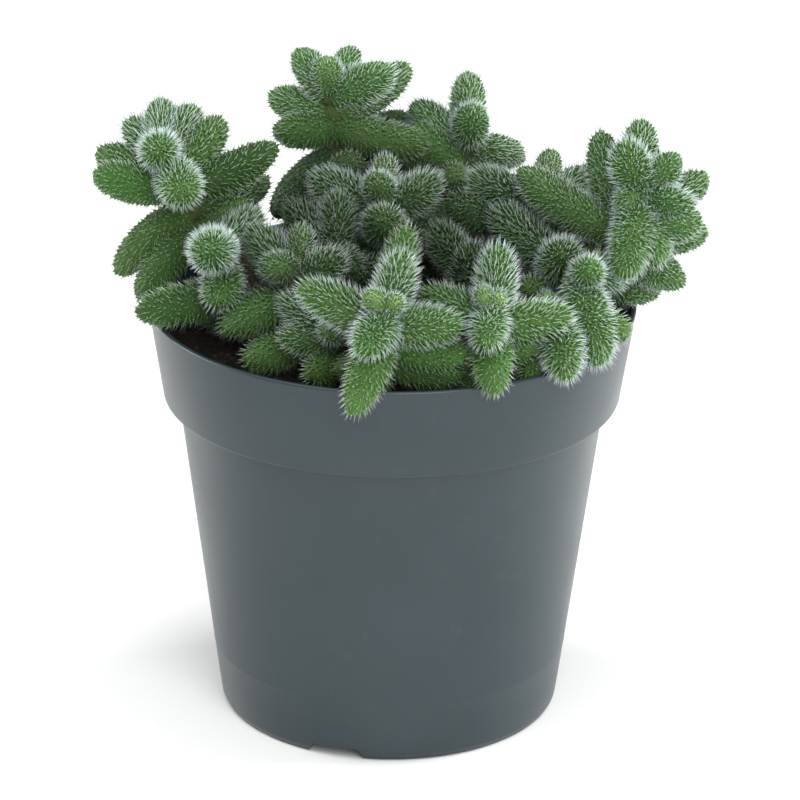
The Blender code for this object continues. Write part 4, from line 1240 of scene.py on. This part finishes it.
def rounded_corner(before, here, after, radius, steps=4):
    """Points of an arc that rounds one corner of a profile."""
    back = np.array(before, float) - here
    ahead = np.array(after, float) - here
    back_length, ahead_length = np.linalg.norm(back), np.linalg.norm(ahead)
    back /= back_length
    ahead /= ahead_length
    half = math.acos(float(np.clip(back @ ahead, -1, 1))) / 2
    reach = min(radius / math.tan(half), 0.45 * back_length, 0.45 * ahead_length)
    start, end = here + back * reach, here + ahead * reach
    middle = here + unit(back + ahead) * reach / math.cos(half)
    bow = reach * math.tan(half)
    arc = []
    for share in np.linspace(0, 1, steps + 1):
        chord = start + share * (end - start)
        arc.append(middle + unit(chord - middle) * bow)
    return arc


def rounded_profile(corners):
    """A profile's points from its corners, each given as radius, height and rounding."""
    points = [np.array(corners[0][:2], float)]
    for before, here, after in zip(corners, corners[1:], corners[2:]):
        if here[2] > 0:
            points += rounded_corner(before[:2], np.array(here[:2], float), after[:2], here[2])
        else:
            points.append(np.array(here[:2], float))
    points.append(np.array(corners[-1][:2], float))
    return points


def pot_corners(settings):
    """The pot's profile from the axis over its inner face, the rim and its outer face."""
    lip = settings.lip_rounding / MM
    corner = settings.corner_rounding / MM
    line = settings.mould_line_height / MM
    floor = BASE_RISE + WALL
    return (
        (0.0, WALL, 0),
        (PAD_RADIUS, WALL, 0.4),
        (PAD_RADIUS + BASE_RISE, floor, 0.4),
        (BODY_LOW_RADIUS - WALL - 1.2, floor, 0.8),
        (BODY_LOW_RADIUS - WALL, BODY_LOW_HEIGHT, 0.8),
        (BODY_TOP_RADIUS - WALL, COLLAR_FOOT_HEIGHT + WALL, 0.4),
        (collar_inside(COLLAR_FOOT_HEIGHT + 2 * WALL), COLLAR_FOOT_HEIGHT + 2 * WALL, 0.4),
        (RIM_RADIUS - WALL, POT_HEIGHT, lip),
        (RIM_RADIUS, POT_HEIGHT, lip),
        (COLLAR_FOOT_RADIUS, COLLAR_FOOT_HEIGHT, corner),
        (BODY_TOP_RADIUS, COLLAR_FOOT_HEIGHT, 0.25),
        (body_outside(line + 0.3), line + 0.3, 0),
        (body_outside(line) + 0.06, line, 0),
        (body_outside(line - 0.3), line - 0.3, 0),
        (BODY_LOW_RADIUS, BODY_LOW_HEIGHT, 1.2),
        (FOOT_RADIUS + 0.7, 1.3, 0.8),
        (FOOT_RADIUS, 0.0, 0.15),
        (FOOT_INSIDE_RADIUS, 0.0, 0.2),
        (FOOT_INSIDE_RADIUS, BASE_RISE, 0.2),
        (PAD_RADIUS + BASE_RISE - BASE_DRAFT, BASE_RISE, 0.3),
        (PAD_RADIUS - BASE_DRAFT, 0.0, 0.3),
        (0.0, 0.0, 0),
    )


def turned(name, profile, steps):
    """A closed solid turned about Z from (radius, height) points that start and end on it."""
    mesh = bpy.data.meshes.new(name)
    points = [(radius * MM, 0.0, height * MM) for radius, height in profile]
    mesh.from_pydata(points, [(i, i + 1) for i in range(len(points) - 1)], [])
    thing = new_object(name, mesh)
    screw = thing.modifiers.new("turned", "SCREW")
    screw.steps = steps
    screw.render_steps = steps
    screw.use_merge_vertices = True
    screw.merge_threshold = 1e-6
    made_plain(thing)
    bm = bmesh.new()
    bm.from_mesh(thing.data)
    bmesh.ops.recalc_face_normals(bm, faces=bm.faces)
    bm.to_mesh(thing.data)
    bm.free()
    return thing


def notch_cutter(angle):
    """A low slot through the foot ring, wider at the standing face than at its top."""
    mesh = bpy.data.meshes.new("notch_cutter")
    bm = bmesh.new()
    bmesh.ops.create_cube(bm, size=1.0)
    for vert in bm.verts:
        half = NOTCH_WIDTH / 2 - (NOTCH_SLANT if vert.co.z > 0 else 0.0)
        vert.co.y = math.copysign(half, vert.co.y) * MM
        vert.co.x = (FOOT_RADIUS + math.copysign(NOTCH_DEPTH, vert.co.x)) * MM
        vert.co.z = (BASE_RISE if vert.co.z > 0 else -BASE_RISE) * MM
    bm.transform(Matrix.Rotation(angle, 4, "Z"))
    bm.to_mesh(mesh)
    bm.free()
    return new_object("notch_cutter", mesh)


def drain_cutter(angle):
    """A round hole through the pot's floor."""
    mesh = bpy.data.meshes.new("drain_cutter")
    bm = bmesh.new()
    radius = DRAIN_RADIUS * MM
    bmesh.ops.create_cone(bm, cap_ends=True, segments=32, radius1=radius, radius2=radius, depth=4 * WALL * MM)
    x, y = DRAIN_RING_RADIUS * math.cos(angle), DRAIN_RING_RADIUS * math.sin(angle)
    bm.transform(Matrix.Translation(Vector((x, y, BASE_RISE + WALL / 2)) * MM))
    bm.to_mesh(mesh)
    bm.free()
    return new_object("drain_cutter", mesh)


class PLANT_OT_pot(bpy.types.Operator):
    """Makes the nursery pot with its lip, collar, mould line, foot notches and drain holes"""
    bl_idname = "plant.pot"
    bl_label = "Make the pot"

    def execute(self, context):
        settings = context.scene.plant_pot
        pot = turned("pot_wall", rounded_profile(pot_corners(settings)), settings.turn_steps)
        cutters = [
            notch_cutter(math.radians(NOTCH_FIRST_ANGLE + index * 360 / NOTCH_COUNT))
            for index in range(NOTCH_COUNT)]
        cutters += [drain_cutter((index + 0.5) * math.tau / DRAIN_COUNT) for index in range(DRAIN_COUNT)]
        for cutter in cutters:
            cut = pot.modifiers.new("cut", "BOOLEAN")
            cut.operation = "DIFFERENCE"
            cut.solver = "EXACT"
            cut.object = cutter
        made_plain(pot)
        for cutter in cutters:
            bpy.data.objects.remove(cutter, do_unlink=True)
        pot.data.shade_smooth()
        pot.data.set_sharp_from_angle(angle=math.radians(32))
        pot.data.materials.clear()
        pot.data.materials.append(pot_finish(settings))
        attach(pot, "root")
        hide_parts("pot")
        return {"FINISHED"}


class PLANT_OT_soil(bpy.types.Operator):
    """Fills the pot with soil and strews its top with crumbs"""
    bl_idname = "plant.soil"
    bl_label = "Make the soil"

    def execute(self, context):
        settings = context.scene.plant_soil
        edge = SOIL_TOP - SOIL_EDGE_DROP
        edge_radius = collar_inside(edge) - GAP
        floor = BASE_RISE + WALL + GAP
        rings = [
            (edge_radius * share, edge + (SOIL_TOP - edge) * (1 - share ** 4))
            for share in np.linspace(1, 0, SOIL_RINGS)]
        sides = [
            (0.0, floor), (BODY_LOW_RADIUS - WALL - GAP - 1.2, floor),
            (BODY_LOW_RADIUS - WALL - GAP, BODY_LOW_HEIGHT + GAP),
            (BODY_TOP_RADIUS - WALL - GAP, COLLAR_FOOT_HEIGHT + WALL + GAP),
            (collar_inside(COLLAR_FOOT_HEIGHT + 2 * WALL) - GAP, COLLAR_FOOT_HEIGHT + 2 * WALL + GAP)]
        soil = turned("soil_body", sides + rings, SOIL_TURN_STEPS)
        rng = np.random.default_rng(SEED)
        waves = [(rng.uniform(-0.9, 0.9, 2), rng.uniform(0, math.tau)) for _ in range(SOIL_WAVES)]
        for vert in soil.data.vertices:
            x, y, z = vert.co / MM
            if z > edge - 0.1 and math.hypot(x, y) < edge_radius - 0.5:
                lift = sum(math.sin(turn[0] * x + turn[1] * y + start) for turn, start in waves)
                vert.co.z += lift / SOIL_WAVES * settings.roughness
        finish = soil_finish(settings)
        soil.data.shade_smooth()
        soil.data.materials.clear()
        soil.data.materials.append(finish)
        crumbs = new_object("soil_crumbs", soil.data.copy())
        add_tree_modifier(crumbs, crumbs_tree(), {
            "Crumb Radius": settings.crumb_radius, "Spacing": settings.crumb_spacing, "Seed": SEED,
            "Finish": finish})
        made_plain(crumbs)
        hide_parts("soil")
        for piece in (soil, crumbs):
            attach(piece, "root")
        return {"FINISHED"}


class PLANT_OT_leafy_stems(bpy.types.Operator):
    """Makes every stem with its plump leaves"""
    bl_idname = "plant.leafy_stems"
    bl_label = "Make the stems and leaves"

    def execute(self, context):
        settings = context.scene.plant_leaves
        tree = swept_lines_tree()
        values = {
            "Sides": settings.sides, "Unevenness": settings.unevenness,
            "Unevenness Size": settings.unevenness_size,
            "Leaf Finish": leaf_finish(settings), "Stem Finish": stem_finish(settings)}
        rng = np.random.default_rng(SEED)
        for stem, route in stem_routes().items():
            lines = stem_and_leaf_lines(stem, route, LEAVES, rng)
            piece = new_object(stem.replace("leafy_stem_", "leaves_"), line_mesh(stem, lines))
            made_plain(add_tree_modifier(piece, tree, values))
            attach(piece, "root")
            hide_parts(stem)
        return {"FINISHED"}


class PLANT_OT_bristles(bpy.types.Operator):
    """Stands fine bristles in rings on every leaf and young stem"""
    bl_idname = "plant.bristles"
    bl_label = "Make the bristles"

    def execute(self, context):
        settings = context.scene.plant_bristles
        tree = bristles_tree()
        values = {
            "Length": settings.length, "Root Width": settings.root_width,
            "Hair Width": settings.hair_width, "Bend": settings.bend, "Seed": SEED,
            "Finish": bristle_finish(settings)}
        rng = np.random.default_rng(SEED)
        for stem, route in stem_routes().items():
            leaves = [leaf for leaf in LEAVES if leaf["stem"] == stem]
            name = stem.replace("leafy_stem_", "bristles_")
            piece = new_object(name, bristle_mesh(name, route, leaves, settings, rng))
            made_plain(add_tree_modifier(piece, tree, values))
            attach(piece, "root")
        return {"FINISHED"}


class PLANT_OT_stage(bpy.types.Operator):
    """Lays the pale floor and sets the soft lights and the camera"""
    bl_idname = "plant.stage"
    bl_label = "Set the stage"

    def execute(self, context):
        settings = context.scene.plant_stage
        mesh = bpy.data.meshes.new("floor")
        bm = bmesh.new()
        bmesh.ops.create_grid(bm, x_segments=8, y_segments=8, size=6.0)
        bm.transform(Matrix.Translation((0.0, 0.0, -FLOOR_GAP)))
        bm.to_mesh(mesh)
        bm.free()
        floor = new_object("floor", mesh)
        mesh.materials.append(floor_finish(settings))
        self.set_surround(settings)
        self.add_light("key_light", (-0.1, -0.3, 1.5), 1.6, settings.key_power)
        self.add_light("left_light", (-0.9, 0.25, 0.4), 0.6, LEFT_SHARE * settings.side_power)
        self.add_light("right_light", (0.9, 0.2, 0.4), 0.6, settings.side_power)
        self.add_light("front_light", (0.35, -1.25, 0.75), 0.9, settings.front_power)
        self.add_camera(settings)
        context.scene.view_settings.view_transform = "Standard"
        return {"FINISHED"}

    def set_surround(self, settings):
        """Even white light from all round."""
        world = bpy.data.worlds.new("surround")
        bpy.context.scene.world = world
        world.use_nodes = True
        background = world.node_tree.nodes["Background"]
        background.inputs["Color"].default_value = (1.0, 1.0, 1.0, 1.0)
        background.inputs["Strength"].default_value = settings.surround

    def add_light(self, name, place, size, power):
        """A square lamp that faces the plant."""
        data = bpy.data.lights.new(name, "AREA")
        data.shape = "SQUARE"
        data.size = size
        data.energy = power
        light = new_object(name, data)
        light.location = place
        towards = Vector(LIGHT_AIM) - light.location
        light.rotation_euler = towards.to_track_quat("-Z", "Y").to_euler()

    def add_camera(self, settings):
        """The camera that took the photograph, as fitted to the pot's round edges."""
        data = bpy.data.cameras.new("camera")
        data.sensor_width = 36.0
        data.lens = CAMERA_LENS
        data.shift_x = CAMERA_SHIFT_X
        data.clip_start = 0.05
        data.clip_end = 50.0
        camera = new_object("camera", data)
        elevation = settings.camera_elevation
        back = Vector((0.0, -math.cos(elevation), math.sin(elevation)))
        turn = (-back).to_track_quat("-Z", "Y").to_matrix().to_4x4() @ Matrix.Rotation(CAMERA_ROLL, 4, "Z")
        place = Vector(CAMERA_TARGET) + settings.camera_distance * back
        camera.matrix_world = Matrix.Translation(place) @ turn
        bpy.context.scene.camera = camera


class PLANT_PT_sidebar(bpy.types.Panel):
    """Lists the plant's settings and what makes its pieces"""
    bl_label = "Potted Pickle Plant"
    bl_idname = "PLANT_PT_sidebar"
    bl_space_type = "VIEW_3D"
    bl_region_type = "UI"
    bl_category = "Plant"

    def draw(self, context):
        for name, operators in PANEL_ROWS:
            settings = getattr(context.scene, name)
            box = self.layout.box()
            for prop in settings.bl_rna.properties:
                if prop.identifier not in ("rna_type", "name"):
                    box.prop(settings, prop.identifier)
            for operator in operators:
                box.operator(operator.bl_idname)


PANEL_ROWS = (
    ("plant_pot", (PLANT_OT_pot,)),
    ("plant_soil", (PLANT_OT_soil,)),
    ("plant_leaves", (PLANT_OT_leafy_stems,)),
    ("plant_bristles", (PLANT_OT_bristles,)),
    ("plant_stage", (PLANT_OT_stage,)),
)
SETTINGS = {
    "plant_pot": PlantPotSettings,
    "plant_soil": PlantSoilSettings,
    "plant_leaves": PlantLeafSettings,
    "plant_bristles": PlantBristleSettings,
    "plant_stage": PlantStageSettings,
}
OPERATORS = (PLANT_OT_pot, PLANT_OT_soil, PLANT_OT_leafy_stems, PLANT_OT_bristles, PLANT_OT_stage)
CLASSES = (*SETTINGS.values(), *OPERATORS, PLANT_PT_sidebar)

LEAVES = leaves_in_box(cleared_leaves())


def register():
    for kind in CLASSES:
        bpy.utils.register_class(kind)
    for name, kind in SETTINGS.items():
        setattr(bpy.types.Scene, name, bpy.props.PointerProperty(type=kind))


def unregister():
    for name in SETTINGS:
        delattr(bpy.types.Scene, name)
    for kind in reversed(CLASSES):
        bpy.utils.unregister_class(kind)


def remove_defaults():
    """Take away the cube, light and camera that a new file starts with."""
    for name in ("Cube", "Light", "Camera"):
        if name in bpy.data.objects:
            bpy.data.objects.remove(bpy.data.objects[name], do_unlink=True)


def main():
    """Make every piece."""
    remove_defaults()
    register()
    bpy.ops.plant.stage()
    bpy.ops.plant.pot()
    bpy.ops.plant.soil()
    bpy.ops.plant.leafy_stems()
    bpy.ops.plant.bristles()


if __name__ == "__main__":
    main()
